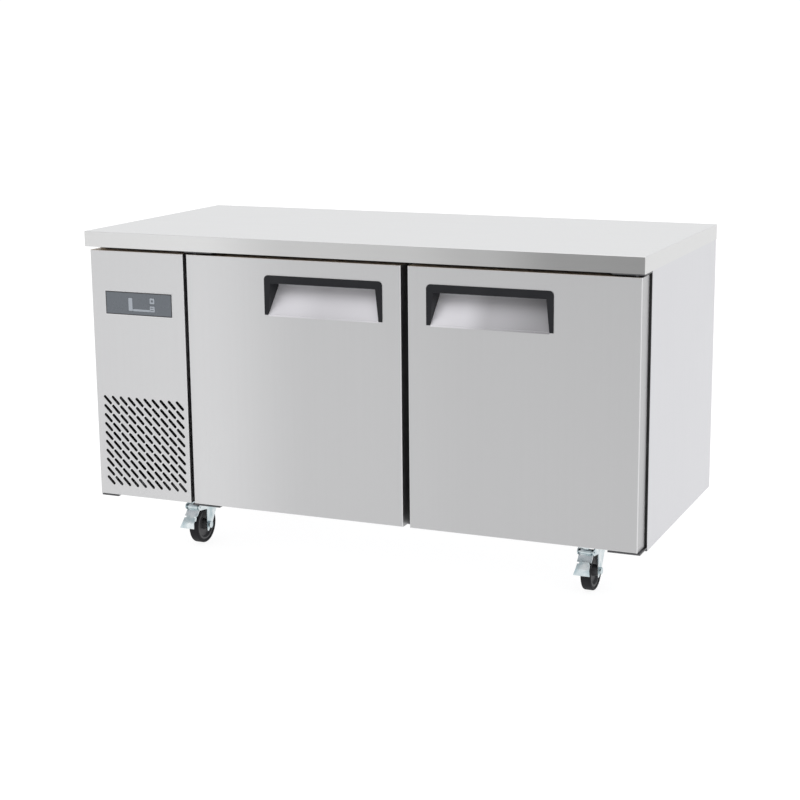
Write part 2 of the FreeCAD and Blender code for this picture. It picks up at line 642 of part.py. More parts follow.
evaporator = finned_block(COLD_WALL + 3, -20, 262, 46, 190, 400, 9)
node(evaporator, "evaporator_coil")
fan("evaporator_fan_blade", "X", COLD_WALL + 40, EVAP_FAN_Y, EVAP_FAN_Z, EVAP_FAN_RADIUS, 18, 3, 5)
evap_can = rod("X", COLD_WALL, EVAP_FAN_Y, EVAP_FAN_Z, 32, 32)
evap_shaft = rod("X", COLD_WALL + 32, EVAP_FAN_Y, EVAP_FAN_Z, 3, 27)
node(fuse(evap_can, evap_shaft), "evaporator_fan_motor")
tray = box(COLD_WALL, COVER_FRONT + 6, COVER_BOTTOM - 24, COVER_DEPTH, COVER_WIDTH - 12, 22)
tray_space = box(COLD_WALL + 2, COVER_FRONT + 8, COVER_BOTTOM - 22, COVER_DEPTH - 4, COVER_WIDTH - 16, 30)
node(cut(tray, tray_space), "drain_tray")

# ---------------------------------------------------------------- shelves, pilasters and clips

COLD_FRONT = FRAME_BACK + D["mullion_depth"]
COVER_FACE = COLD_WALL + COVER_DEPTH
RAIL_WIDTH = 20
RAIL_DEPTH = 7
RAIL_BOTTOM = 240
RAIL_HEIGHT = 470
REAR_WALL = LINER_BACK - SHEET
SHELF_FRONT = COLD_FRONT + 12
RIGHT_WALL = LINER_RIGHT - SHEET
CLIP_LENGTH = 20
CLIP_WIDTH = RAIL_WIDTH - 4
CLIP_THICKNESS = 4
CLIP_BOTTOM = D["shelf_level"] - CLIP_THICKNESS
CENTRE_CLIP_WIDTH = 76
FRONT_RAIL_Y = SHELF_FRONT + 60
REAR_RAIL_Y = SHELF_FRONT + D["shelf_depth"] - 80
WIRE_PITCH = 27
WIRE_RADIUS = 2

rails = []
clips = []
# Rails on the side walls carry clips that reach inwards; the centre rails stand on the mullion's
# rear and on the rear wall and carry clips to both sides.
for y in (FRONT_RAIL_Y, REAR_RAIL_Y):
    rails.append(box(COVER_FACE, y, RAIL_BOTTOM, RAIL_DEPTH, RAIL_WIDTH, RAIL_HEIGHT))
    rails.append(box(RIGHT_WALL - RAIL_DEPTH, y, RAIL_BOTTOM, RAIL_DEPTH, RAIL_WIDTH, RAIL_HEIGHT))
    for left in (COVER_FACE + RAIL_DEPTH, RIGHT_WALL - RAIL_DEPTH - CLIP_LENGTH):
        clips.append(box(left, y + 2, CLIP_BOTTOM, CLIP_LENGTH, CLIP_WIDTH, CLIP_THICKNESS))
for y, inward in ((COLD_FRONT, 1), (REAR_WALL - RAIL_DEPTH, -1)):
    rails.append(box(MULLION_CENTRE - RAIL_WIDTH / 2, y, RAIL_BOTTOM, RAIL_WIDTH, RAIL_DEPTH, RAIL_HEIGHT))
    front = y + RAIL_DEPTH if inward > 0 else y - CLIP_LENGTH
    clips.append(box(MULLION_CENTRE - CENTRE_CLIP_WIDTH / 2, front, CLIP_BOTTOM,
                     CENTRE_CLIP_WIDTH, CLIP_LENGTH, CLIP_THICKNESS))
node(group(*rails), "shelf_pilasters")
node(group(*clips), "shelf_clips")


def wire_shelf(label, left, right):
    """A wire grid: a rim of four bars with wires from front to back."""
    width = right - left
    wire = D["shelf_wire"]
    rim = cut(box(left, SHELF_FRONT, "shelf_level", width, "shelf_depth", "shelf_wire"),
              box(left + wire, f"{SHELF_FRONT} + shelf_wire", "shelf_level - 1",
                  width - 2 * wire, "shelf_depth - 2*shelf_wire", "shelf_wire + 2"))
    wires = []
    count = round(width / WIRE_PITCH)
    for index in range(1, count):
        wires.append(rod("Y", left + width * index / count, SHELF_FRONT + 2, "shelf_level + shelf_wire/2",
                         WIRE_RADIUS, "shelf_depth - 4"))
    for part in (1 / 3, 2 / 3):
        wires.append(box(left + 2, SHELF_FRONT + D["shelf_depth"] * part, "shelf_level", width - 4, 5, 2.5))
    return node(fuse(rim, *wires), label)


wire_shelf("shelf_left", COVER_FACE + RAIL_DEPTH + 3, MULLION_CENTRE - RAIL_WIDTH / 2 - 3)
wire_shelf("shelf_right", MULLION_CENTRE + RAIL_WIDTH / 2 + 3, RIGHT_WALL - RAIL_DEPTH - 3)

# ---------------------------------------------------------------- doors

HANDLE_TOP = D["handle_bottom"] + D["handle_height"]
SKIN_BACK = FACE + D["door_depth"]
RECESS_BACK = FACE + D["handle_depth"]
SCOOP_TOP = D["handle_bottom"] + D["scoop_rise"]
LINER_FRONT = SKIN_BACK - D["liner_thickness"]
PIVOT_Y = FACE + D["hinge_setback"]
PIVOT_RADIUS = "hinge_pin_radius + running_gap"
LEG_BOTTOM_WIDTH = 10
LEG_TOP_WIDTH = 18
CHEEK_INSET = 3
LIP_THICKNESS = 8
BEZEL_CORNER = 11
ROOT_INSET = 7
ROOT_DEPTH = 2
ROOT_WIDTH = 4
ROOT_GAP = 0.2


def recess_prism(start, width):
    """The space of a handle recess: a slope from the door's face at the bottom to its full depth,
    then straight up to the top."""
    prism = new_body(start, 0, 0)
    side = sketch_on(prism, "YZ_Plane")
    outline(side, [(FACE - 4, D["handle_bottom"]), (FACE, D["handle_bottom"]), (RECESS_BACK, SCOOP_TOP),
                   (RECESS_BACK, HANDLE_TOP - CHEEK_INSET), (FACE - 4, HANDLE_TOP - CHEEK_INSET)])
    pad(prism, side, width)
    return prism


def door_skin(name, start, handle_start, pivot_x):
    """The outer pan: front face with folded returns, a handle cut-out and hinge holes."""
    skin = new_body(f"{name}_start", SKIN_BACK, "door_bottom")
    face = sketch_on(skin, "XZ_Plane")
    rectangle(face, 0, 0, f"{name}_width", "door_height")
    pad(skin, face, "door_depth")
    round_edges(skin, "front_radius", lambda at, way: abs(way.z) > 0.9 and at.y < 1 - D["door_depth"])
    back = sketch_on(skin, "XZ_Plane")
    rectangle(back, "sheet", "sheet", f"{name}_width - 2*sheet", "door_height - 2*sheet")
    pocket(skin, back, "door_depth - sheet")
    hole = sketch_on(skin, "XZ_Plane")
    rectangle(hole, handle_start + CHEEK_INSET - start, D["handle_bottom"] - D["door_bottom"],
              f"handle_width - {2 * CHEEK_INSET}", f"handle_height - {CHEEK_INSET}")
    pocket(skin, hole, "door_depth + 1")
    pivots = rod("Z", pivot_x, PIVOT_Y, "door_bottom - 1", PIVOT_RADIUS, "door_height + 2")
    return cut(skin, pivots)


def door_core(start, width, handle_start, pivot_x):
    """The foam: it fills the pan behind the handle recess and leaves pockets for the hinge pins."""
    core = box(start + SHEET, FACE + SHEET, "door_bottom + sheet", width - 2 * SHEET,
               "door_depth - sheet - liner_thickness", "door_height - 2*sheet")
    recess = recess_prism(handle_start + CHEEK_INSET, D["handle_width"] - 2 * CHEEK_INSET)
    pins = []
    for bottom in (D["door_bottom"], DOOR_TOP - 30):
        pins.append(rod("Z", pivot_x, PIVOT_Y, bottom, 6, 30))
    return cut(core, recess, *pins)


def door_liner(start, width, hinge_right):
    """The inner panel, flush with the pan's returns, with a groove for the gasket's root."""
    panel = box(start + SHEET, LINER_FRONT, "door_bottom + sheet", width - 2 * SHEET, "liner_thickness",
                "door_height - 2*sheet")
    groove = gasket_ring(start, width, hinge_right, ROOT_INSET, SKIN_BACK - ROOT_DEPTH, ROOT_DEPTH + 1,
                         ROOT_WIDTH)
    return cut(panel, groove)


def gasket_ring(start, width, hinge_right, inset, y, depth, ring_width):
    """A rectangular ring along the door's edge. The hinge side is set in as far as the pivot, so that
    it only moves away from the frame as the door opens."""
    edge = D["gasket_edge"]
    hinge = D["hinge_inset"] + 1
    left = start + inset + (edge if hinge_right else hinge)
    right = start + width - inset - (hinge if hinge_right else edge)
    bottom = D["door_bottom"] + edge + inset
    top = DOOR_TOP - edge - inset
    outer = box(left, y, bottom, right - left, depth, top - bottom)
    inner = box(left + ring_width, y - 1, bottom + ring_width, right - left - 2 * ring_width, depth + 2,
                top - bottom - 2 * ring_width)
    return cut(outer, inner)


def door_gasket(start, width, hinge_right):
    """The magnetic seal with its root in the liner's groove."""
    seal = gasket_ring(start, width, hinge_right, 0, SKIN_BACK, D["gasket_depth"], D["gasket_width"])
    root = gasket_ring(start, width, hinge_right, ROOT_INSET + ROOT_GAP, SKIN_BACK - ROOT_DEPTH + ROOT_GAP,
                       ROOT_DEPTH, ROOT_WIDTH - 2 * ROOT_GAP)
    return fuse(seal, root)


def handle_bezel(handle_start):
    """The plastic surround: an upside-down U whose legs widen upwards, with cheeks that close the
    sides of the recess and a lip to pull on."""
    width = D["handle_width"]
    height = D["handle_height"]
    bar = D["handle_bar"]
    prism = recess_prism(handle_start + CHEEK_INSET, width - 2 * CHEEK_INSET)
    bulge = BEZEL_CORNER * (1 - math.sqrt(0.5))
    arch = [(0, 0), (LEG_BOTTOM_WIDTH, 0), (LEG_TOP_WIDTH, height - bar),
            (width - LEG_TOP_WIDTH, height - bar), (width - LEG_BOTTOM_WIDTH, 0),
            (width, 0), (width, height - BEZEL_CORNER, bulge), (width - BEZEL_CORNER, height),
            (BEZEL_CORNER, height, bulge), (0, height - BEZEL_CORNER)]
    flange = new_body(handle_start, FACE, "handle_bottom")
    face = sketch_on(flange, "XZ_Plane")
    outline(face, arch)
    pad(flange, face, "handle_flange")
    deep = new_body(handle_start, RECESS_BACK + 1, "handle_bottom")
    face = sketch_on(deep, "XZ_Plane")
    outline(face, arch)
    pad(deep, face, D["handle_depth"] + 2)
    cheeks = common(deep, prism)
    finger_space = box(handle_start + LEG_TOP_WIDTH, FACE + LIP_THICKNESS, HANDLE_TOP - bar - 1,
                       width - 2 * LEG_TOP_WIDTH, RECESS_BACK - FACE - LIP_THICKNESS, bar - CHEEK_INSET - 2)
    return cut(fuse(flange, cheeks), finger_space)


def handle_scoop(handle_start):
    """The bent steel sheet that closes the recess: a slope, then a short upright back."""
    scoop = new_body(handle_start, 0, 0)
    side = sketch_on(scoop, "YZ_Plane")
    rise = D["scoop_rise"]
    slant = math.hypot(rise, D["handle_depth"])
    across_y = SHEET * rise / slant
    across_z = SHEET * D["handle_depth"] / slant
    top = HANDLE_TOP - D["handle_bar"] + 12
    # outer side of the bend against the foam, inner side one sheet thickness nearer the front
    outline(side, [(FACE, D["handle_bottom"]), (RECESS_BACK, SCOOP_TOP), (RECESS_BACK, top),
                   (RECESS_BACK - SHEET, top), (RECESS_BACK - SHEET, SCOOP_TOP + across_z * 0.5),
                   (FACE + across_y * 0.2, D["handle_bottom"] + 2 * across_z),
                   (FACE - 1, D["handle_bottom"] + 2 * across_z), (FACE - 1, D["handle_bottom"] - 3),
                   (FACE, D["handle_bottom"] - 3)])
    pad(scoop, side, "handle_width")
    # trimmed to the taper between the bezel's legs
    width = D["handle_width"]
    height = D["handle_height"]
    grow = LEG_TOP_WIDTH - LEG_BOTTOM_WIDTH
    slope = grow / (height - D["handle_bar"])
    trim = new_body(handle_start, RECESS_BACK + 1, "handle_bottom - 4")
    face = sketch_on(trim, "XZ_Plane")
    low = LEG_BOTTOM_WIDTH - 4 * slope
    high = LEG_BOTTOM_WIDTH + (height + 4) * slope
    outline(face, [(low, 0), (width - low, 0), (width - high, height + 8), (high, height + 8)])
    pad(trim, face, D["handle_depth"] + 5)
    return common(scoop, trim)


for side, hinge_right in (("left", False), ("right", True)):
    start = D[f"{side}_door_start"]
    width = D[f"{side}_door_width"]
    end = start + width
    pivot_x = end - D["hinge_inset"] if hinge_right else start + D["hinge_inset"]
    handle_start = start + D["handle_side"] if hinge_right else end - D["handle_side"] - D["handle_width"]
    node(door_skin(f"{side}_door", start, handle_start, pivot_x), f"door_{side}_skin")
    node(door_core(start, width, handle_start, pivot_x), f"door_{side}_core")
    node(door_liner(start, width, hinge_right), f"door_{side}_liner")
    node(door_gasket(start, width, hinge_right), f"door_{side}_gasket")
    node(handle_bezel(handle_start), f"door_{side}_handle_bezel")
    node(handle_scoop(handle_start), f"door_{side}_handle_scoop")

# ---------------------------------------------------------------- front brackets

BRACKET_LENGTH = 80
BRACKET_OVERHANG = 24
BRACKET_THICKNESS = 4
BRACKET_DEPTH = FRAME_FACE - FACE - 2
PIN_LENGTH = 18
COLLAR_RADIUS = 8
LOWER_PLATE_TOP = D["door_bottom"] - 1
PANEL_BRACKET_LENGTH = 50


def angle_plate(left, length):
    """A bent plate: one leg on the cabinet's front, one reaching forward under a door or panel."""
    return [box(left, FACE + 2, LOWER_PLATE_TOP - BRACKET_THICKNESS,
                length, BRACKET_DEPTH, BRACKET_THICKNESS),
            box(left, FRAME_FACE - BRACKET_THICKNESS, D["body_bottom"] + 1, length, BRACKET_THICKNESS,
                LOWER_PLATE_TOP - D["body_bottom"] - 1)]


brackets = []
left_pivot = D["left_door_start"] + D["hinge_inset"]
right_pivot = RIGHT_DOOR_END - D["hinge_inset"]
for pivot_x, left in ((left_pivot, left_pivot - BRACKET_OVERHANG),
                      (right_pivot, right_pivot + BRACKET_OVERHANG - BRACKET_LENGTH)):
    lower = fuse(*angle_plate(left, BRACKET_LENGTH),
                 rod("Z", pivot_x, PIVOT_Y, LOWER_PLATE_TOP - 1, COLLAR_RADIUS, 1.6),
                 rod("Z", pivot_x, PIVOT_Y, LOWER_PLATE_TOP - 1, "hinge_pin_radius", PIN_LENGTH))
    upper = fuse(box(left, FACE + 2, BODY_TOP - BRACKET_THICKNESS,
                     BRACKET_LENGTH, BRACKET_DEPTH, BRACKET_THICKNESS),
                 rod("Z", pivot_x, PIVOT_Y, DOOR_TOP - PIN_LENGTH + 4, "hinge_pin_radius", PIN_LENGTH + 2))
    brackets += [lower, upper]
brackets.append(fuse(*angle_plate("panel_start + 2", PANEL_BRACKET_LENGTH)))
node(group(*brackets), "front_brackets")

# ---------------------------------------------------------------- casters

PLATE_X = 96
PLATE_Y = 84
BOLT_HOLE_RADIUS = 4.3
RACEWAY_RADIUS = 31
KINGPIN_RADIUS = 8
KINGPIN_HEAD_RADIUS = 12
CROWN_RADIUS = 29
CROWN_HEIGHT = 12
CROWN_BOTTOM = D["fork_top"] - CROWN_HEIGHT
HUB_RADIUS = 13
BOSS_RADIUS = 15
WEB_HALF_THICKNESS = 4
RIM_INSIDE = 36
RIM_RADIUS = 41
SHOULDER = 4
PEDAL_SLOPE = 47
PEDAL_THICKNESS = 2.5
PEDAL_TOP = -4
PEDAL_LOBE = 18.3
PEDAL_NECK = 11.5
PEDAL_LIP = 21
PEDAL_BEND = 22
PEDAL_STEP = 27
PEDAL_NOTCH = 5
PEDAL_FOLD = 48
PEDAL_END = 62
PEDAL_RAISED = 3
PEDAL_LOW = 0.7
PEDAL_TIP = 4.5
PEDAL_BLANK = 12
BARREL_RADIUS = 6.5
BARREL_LENGTH = 26
SHOE_WIDTH = 20
SHOE_REACH = 48.2
SHOE_HEIGHT = 23.3
bolt_spots = [(dx, dy) for dx in (-38, 38) for dy in (-30, 30)]
CASTERS = {}
for side in ("left", "right"):
    for row in ("front", "rear"):
        CASTERS[f"{row}_{side}"] = (D[f"caster_{side}"], D[f"caster_{row}"])


def caster_plate(x, y):
    """The fixed part: bolted plate, raceway cup and kingpin with its riveted head."""
    plate = fuse(box(x - PLATE_X / 2, y - PLATE_Y / 2, "plate_bottom",
                     PLATE_X, PLATE_Y, "body_bottom - plate_bottom"),
                 rod("Z", x, y, "fork_top + 0.4", RACEWAY_RADIUS, "plate_bottom - fork_top"),
                 rod("Z", x, y, CROWN_BOTTOM - 1, KINGPIN_RADIUS, D["plate_bottom"] - CROWN_BOTTOM + 4),
                 rod("Z", x, y, CROWN_BOTTOM - 4, KINGPIN_HEAD_RADIUS, 3.7))
    holes = [rod("Z", x + dx, y + dy, "plate_bottom - 1", BOLT_HOLE_RADIUS, 5) for dx, dy in bolt_spots]
    return cut(plate, *holes)


def fork_leg(x, y, offset):
    """One pressed side plate: wide under the crown, tapering from behind down to the axle, with an ear
    for the pedal at the front."""
    leg = new_body(x + offset, y, 0)
    side = sketch_on(leg, "YZ_Plane")
    top = D["fork_top"]
    pivot = D["pedal_pivot"]
    axle_y = -D["caster_trail"]
    ear_y = axle_y - D["pedal_reach"]
    axle = D["wheel_radius"]
    outline(side, [(axle_y - 11, axle - 14), (axle_y - 5, axle - 17), (axle_y + 14, axle - 3),
                   (axle_y + 38, axle + 34), (24, axle + 52), (26, top), (ear_y + 8, top - 4),
                   (ear_y, pivot + 8, 8), (ear_y, pivot - 8), (axle_y - 11, pivot - 12)])
    pad(leg, side, "fork_leg")
    return leg


def caster_fork(x, y):
    """The swivelling fork: crown, web, two legs, the riveted axle with head and nut, and the pedal pin."""
    half = D["fork_gap"] / 2
    leg = D["fork_leg"]
    trail = D["caster_trail"]
    axle_y = y - trail
    pin_y = axle_y - D["pedal_reach"]
    span = D["fork_gap"] + 2 * leg
    solids = [rod("Z", x, y, CROWN_BOTTOM, CROWN_RADIUS, CROWN_HEIGHT),
              box(x - half - leg, y - 34, D["fork_top"] - 6, span, 58, 4),
              fork_leg(x, y, half), fork_leg(x, y, -half - leg),
              rod("X", x - half - leg - 1, axle_y, "wheel_radius", "axle_radius", span + 2),
              rod("X", x - half - leg - 5, axle_y, "wheel_radius", 8, 5),
              rod("X", x + half + leg, axle_y, "wheel_radius", 9, 6),
              rod("X", x - half - leg - 1, pin_y, "pedal_pivot", "pedal_pin", span + 2)]
    bore = rod("Z", x, y, CROWN_BOTTOM - 1, KINGPIN_RADIUS + D["running_gap"], 20)
    return cut(fuse(*solids), bore)


def turned_ring(x, y, points):
    """A ring turned about the caster's axle, which runs along X. Points are (along, radius)."""
    ring = move(turn(new_body(), Y_AXIS, 90), x, y, "wheel_radius")
    profile = sketch_on(ring, "XZ_Plane")
    outline(profile, [(point[1], point[0], *point[2:]) for point in points])
    revolve(ring, profile)
    return ring


def wheel_core(x, y):
    """The moulded wheel: hub, web and rim."""
    bore = D["axle_radius"] + D["running_gap"]
    hub = D["fork_gap"] / 2 - 0.6
    rim = D["wheel_width"] / 2 - 2
    web = WEB_HALF_THICKNESS
    points = [(-hub, bore), (hub, bore), (hub, HUB_RADIUS), (web, BOSS_RADIUS), (web, RIM_INSIDE - 3),
              (rim, RIM_INSIDE), (rim, RIM_RADIUS), (-rim, RIM_RADIUS), (-rim, RIM_INSIDE),
              (-web, RIM_INSIDE - 3), (-web, BOSS_RADIUS), (-hub, HUB_RADIUS)]
    return turned_ring(x, y, points)


def tyre_ring(x, y):
    """The tread, with rounded shoulders, bonded round the wheel's rim."""
    half = D["wheel_width"] / 2
    radius = D["wheel_radius"]
    points = [(-half + 2, RIM_RADIUS), (half - 2, RIM_RADIUS), (half, RIM_RADIUS + 2),
              (half, radius - SHOULDER, -1.2), (half - SHOULDER, radius), (-half + SHOULDER, radius, -1.2),
              (-half, radius - SHOULDER), (-half, RIM_RADIUS + 2)]
    return turned_ring(x, y, points)


def brake_pedal(x, y):
    """The stamped pedal: a barrel on its pin, a plate that slopes down and forward with a raised step,
    notches below it and a folded lip, and a shoe that reaches back to the tread."""
    pin_y = y - D["caster_trail"] - D["pedal_reach"]
    barrel = rod("X", x - BARREL_LENGTH / 2, pin_y, "pedal_pivot", BARREL_RADIUS, BARREL_LENGTH)
    blank = move(turn(new_body(), X_AXIS, 180 + PEDAL_SLOPE), x, pin_y, "pedal_pivot")
    face = sketch_on(blank, "XY_Plane")
    below_notch = PEDAL_STEP + PEDAL_NOTCH
    half_plan = [(PEDAL_LOBE, PEDAL_TOP), (PEDAL_LOBE, PEDAL_STEP), (PEDAL_NECK, PEDAL_STEP + 1),
                 (PEDAL_NECK, below_notch), (PEDAL_LOBE - 2, below_notch + 1),
                 (PEDAL_LOBE - 1, PEDAL_FOLD), (PEDAL_LIP, PEDAL_END)]
    outline(face, half_plan + [(-across, along) for across, along in reversed(half_plan)])
    pad(blank, face, PEDAL_BLANK)
    section = move(turn(new_body(), X_AXIS, 180 + PEDAL_SLOPE), x - PEDAL_LIP, pin_y, "pedal_pivot")
    side = sketch_on(section, "YZ_Plane")
    front = [(PEDAL_TOP, PEDAL_RAISED), (PEDAL_BEND, PEDAL_RAISED), (PEDAL_STEP, PEDAL_LOW),
             (PEDAL_FOLD, PEDAL_LOW), (PEDAL_END, PEDAL_TIP)]
    outline(side, front + [(along, depth + PEDAL_THICKNESS) for along, depth in reversed(front)])
    pad(section, side, 2 * PEDAL_LIP)
    plate = common(blank, section)
    shoe = new_body(x - SHOE_WIDTH / 2, 0, 0)
    shoe_side = sketch_on(shoe, "YZ_Plane")
    near = (y - D["caster_trail"] - SHOE_REACH, D["wheel_radius"] + SHOE_HEIGHT)
    outline(shoe_side, [near, (near[0] + 1.5, near[1] + 5), (pin_y - 10, near[1] + 18),
                        (pin_y - 20, near[1] + 6), (near[0] - 4, near[1] - 4)])
    pad(shoe, shoe_side, SHOE_WIDTH)
    bore = rod("X", x - 20, pin_y, "pedal_pivot", "pedal_pin + running_gap", 40)
    return cut(fuse(barrel, plate, shoe), bore)


node(group(*[caster_plate(x, y) for x, y in CASTERS.values()]), "caster_plates")
for name, (x, y) in CASTERS.items():
    axle_y = y - D["caster_trail"]
    node(caster_fork(x, y), f"caster_{name}_fork")
    node(wheel_core(x, axle_y), f"caster_{name}_wheel")
    node(tyre_ring(x, axle_y), f"caster_{name}_tyre")
    if name.startswith("front"):
        node(brake_pedal(x, y), f"caster_{name}_pedal")

# ---------------------------------------------------------------- screws

screws = []
for x, y in CASTERS.values():
    for dx, dy in bolt_spots:
        head = rod("Z", x + dx, y + dy, "plate_bottom - 5", 6.5, 5)
        shank = rod("Z", x + dx, y + dy, "plate_bottom - 1", 4, "body_bottom - plate_bottom + 0.9")
        screws.append(fuse(head, shank))
for x in (BODY_LEFT + 12, BODY_LEFT + D["machine_width"] - 12):
    for z in (D["body_bottom"] + 20, (D["body_bottom"] + BODY_TOP) / 2, BODY_TOP - 20):
        screws.append(rod("Y", x, BACK_FACE + SHEET, z, 4, 0.5))
for y in (COVER_FRONT + 14, COVER_FRONT + COVER_WIDTH - 14):
    for z in (COVER_BOTTOM + 14, COVER_BOTTOM + COVER_HEIGHT - 14):
        screws.append(rod("X", COLD_WALL + COVER_DEPTH, y, z, 4, 2))
node(group(*screws), "screws")

# ---------------------------------------------------------------- checks and files

doc.recompute()
for item in doc.Objects:
    if "Invalid" in item.State or "Error" in item.State:
        raise RuntimeError(f"{item.Name} {item.Label}: {item.State}")
for item in NODES:
    if item.Shape.isNull() or not item.Shape.isValid():
        raise RuntimeError(f"{item.Label} has no valid shape")
os.makedirs("parts", exist_ok=True)
for item in NODES:
    item.Shape.exportStep(f"parts/{item.Label}.step")
print(f"{len(NODES)} sub-parts")
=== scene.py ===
"""Looks of a two-door undercounter refrigerator on casters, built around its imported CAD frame."""
import json
import math

import bmesh
import bpy
from mathutils import Matrix, Vector


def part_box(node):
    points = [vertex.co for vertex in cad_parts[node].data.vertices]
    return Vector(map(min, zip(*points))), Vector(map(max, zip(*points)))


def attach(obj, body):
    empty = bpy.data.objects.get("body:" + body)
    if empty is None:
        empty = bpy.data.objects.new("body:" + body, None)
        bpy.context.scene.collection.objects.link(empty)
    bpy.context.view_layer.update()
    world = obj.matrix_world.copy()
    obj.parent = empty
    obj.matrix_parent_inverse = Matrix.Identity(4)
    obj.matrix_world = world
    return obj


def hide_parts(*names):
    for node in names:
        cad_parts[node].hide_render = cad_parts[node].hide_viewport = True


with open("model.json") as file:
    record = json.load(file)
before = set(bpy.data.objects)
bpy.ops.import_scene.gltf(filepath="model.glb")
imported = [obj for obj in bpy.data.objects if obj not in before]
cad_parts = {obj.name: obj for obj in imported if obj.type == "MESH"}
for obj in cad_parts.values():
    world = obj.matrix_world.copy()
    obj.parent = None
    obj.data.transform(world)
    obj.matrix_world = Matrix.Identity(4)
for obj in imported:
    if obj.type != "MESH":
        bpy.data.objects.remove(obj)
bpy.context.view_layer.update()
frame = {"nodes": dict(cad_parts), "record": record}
RECORD = frame["record"]
SLOT_OF = {entry["node"]: entry["material_slot"] for entry in RECORD["subparts"]}
BODY_OF = {name: body for body, names in RECORD["behaviour"]["bodies"].items() for name in names}
MM = 0.001


# ---------------------------------------------------------------- shader helpers

NOISE_RANGE = (0.3, 0.7)
# Ranges of the normal that pick out forward-facing fronts and right-hand returns, for the painted light
# and shade on brushed fronts.
FRONT_FACING = (-0.93, -0.99)
RIGHT_FACING = (0.93, 0.99)
BROAD_STREAKS = 0.12


class Shader:
    """A material's node tree, with short calls for the nodes that the finishes here are made from."""

    def __init__(self, name, colour, roughness, metallic=0.0):
        self.material = bpy.data.materials.new(name)
        self.material.use_nodes = True
        self.tree = self.material.node_tree
        self.surface = self.tree.nodes["Principled BSDF"]
        self.surface.inputs["Base Color"].default_value = (*colour, 1)
        self.surface.inputs["Roughness"].default_value = roughness
        self.surface.inputs["Metallic"].default_value = metallic
        coordinates = self.add("ShaderNodeTexCoord")
        self.place = coordinates.outputs["Object"]
        self.facing = coordinates.outputs["Normal"]

    def add(self, kind, **settings):
        item = self.tree.nodes.new(kind)
        for name, value in settings.items():
            setattr(item, name, value)
        return item

    def link(self, source, target):
        self.tree.links.new(source, target)

    def stretched(self, scale):
        """Object coordinates scaled by a different amount along each axis."""
        mapping = self.add("ShaderNodeMapping")
        mapping.inputs["Scale"].default_value = scale
        self.link(self.place, mapping.inputs["Vector"])
        return mapping.outputs["Vector"]

    def noise(self, scale, detail=3.0, where=None, rough=0.5):
        item = self.add("ShaderNodeTexNoise")
        item.inputs["Scale"].default_value = scale
        item.inputs["Detail"].default_value = detail
        item.inputs["Roughness"].default_value = rough
        self.link(where or self.place, item.inputs["Vector"])
        return item.outputs["Fac"]

    def cells(self, scale, output="Color"):
        item = self.add("ShaderNodeTexVoronoi")
        item.inputs["Scale"].default_value = scale
        self.link(self.place, item.inputs["Vector"])
        return item.outputs[output]

    def spread(self, value, low, high, out_low, out_high):
        """Maps a value's useful range to another range."""
        item = self.add("ShaderNodeMapRange")
        item.inputs["From Min"].default_value = low
        item.inputs["From Max"].default_value = high
        item.inputs["To Min"].default_value = out_low
        item.inputs["To Max"].default_value = out_high
        self.link(value, item.inputs["Value"])
        return item.outputs["Result"]

    def vary(self, noise, out_low, out_high):
        """Maps the range where most of a noise lies to another range."""
        return self.spread(noise, *NOISE_RANGE, out_low, out_high)

    def total(self, first, second):
        item = self.add("ShaderNodeMath", operation="ADD")
        self.link(first, item.inputs[0])
        self.link(second, item.inputs[1])
        return item.outputs[0]

    def tint(self, amount, first, second):
        """A colour between two, by an amount."""
        item = self.add("ShaderNodeMix", data_type="RGBA")
        item.inputs["A"].default_value = (*first, 1)
        item.inputs["B"].default_value = (*second, 1)
        self.link(amount, item.inputs["Factor"])
        return item.outputs["Result"]

    def colour(self, output):
        self.link(output, self.surface.inputs["Base Color"])

    def roughness(self, output):
        self.link(output, self.surface.inputs["Roughness"])

    def bump(self, height, depth, strength=1.0):
        item = self.add("ShaderNodeBump")
        item.inputs["Distance"].default_value = depth
        item.inputs["Strength"].default_value = strength
        self.link(height, item.inputs["Height"])
        self.link(item.outputs["Normal"], self.surface.inputs["Normal"])


def shade(colour, factor):
    return tuple(min(1.0, channel * factor) for channel in colour)


def brushed_steel(name, colour, roughness, grain, wave=0.00025, metallic=1.0):
    """Stainless sheet: long fine brush lines, cloudy wiping marks and a slight waviness of the sheet."""
    steel = Shader(name, colour, roughness, metallic)
    lines = steel.noise(1.0, 4.0, steel.stretched(grain), 0.65)
    broad = steel.noise(1.0, 2.0, steel.stretched(tuple(value * BROAD_STREAKS for value in grain)))
    clouds = steel.noise(5.5, 5.0, rough=0.6)
    grainy = steel.total(steel.vary(lines, -0.05, 0.05), steel.vary(broad, -0.02, 0.02))
    wiped = steel.total(grainy, steel.vary(clouds, roughness - 0.02, roughness + 0.03))
    steel.roughness(wiped)
    tone = steel.total(steel.vary(lines, 0.35, 0.65), steel.vary(clouds, -0.2, 0.2))
    streaked = steel.total(tone, steel.vary(broad, -0.15, 0.15))
    grain_tone = steel.tint(streaked, shade(colour, 0.965), shade(colour, 1.025))
    steel.colour(grain_tone)
    slow = steel.noise(2.2, 1.0)
    height = steel.total(steel.spread(lines, 0, 1, 0, 0.04), slow)
    steel.bump(height, wave)
    return steel, grain_tone


def sheet(name, colour, roughness, grain, wave=0.00025):
    return brushed_steel(name, colour, roughness, grain, wave)[0].material


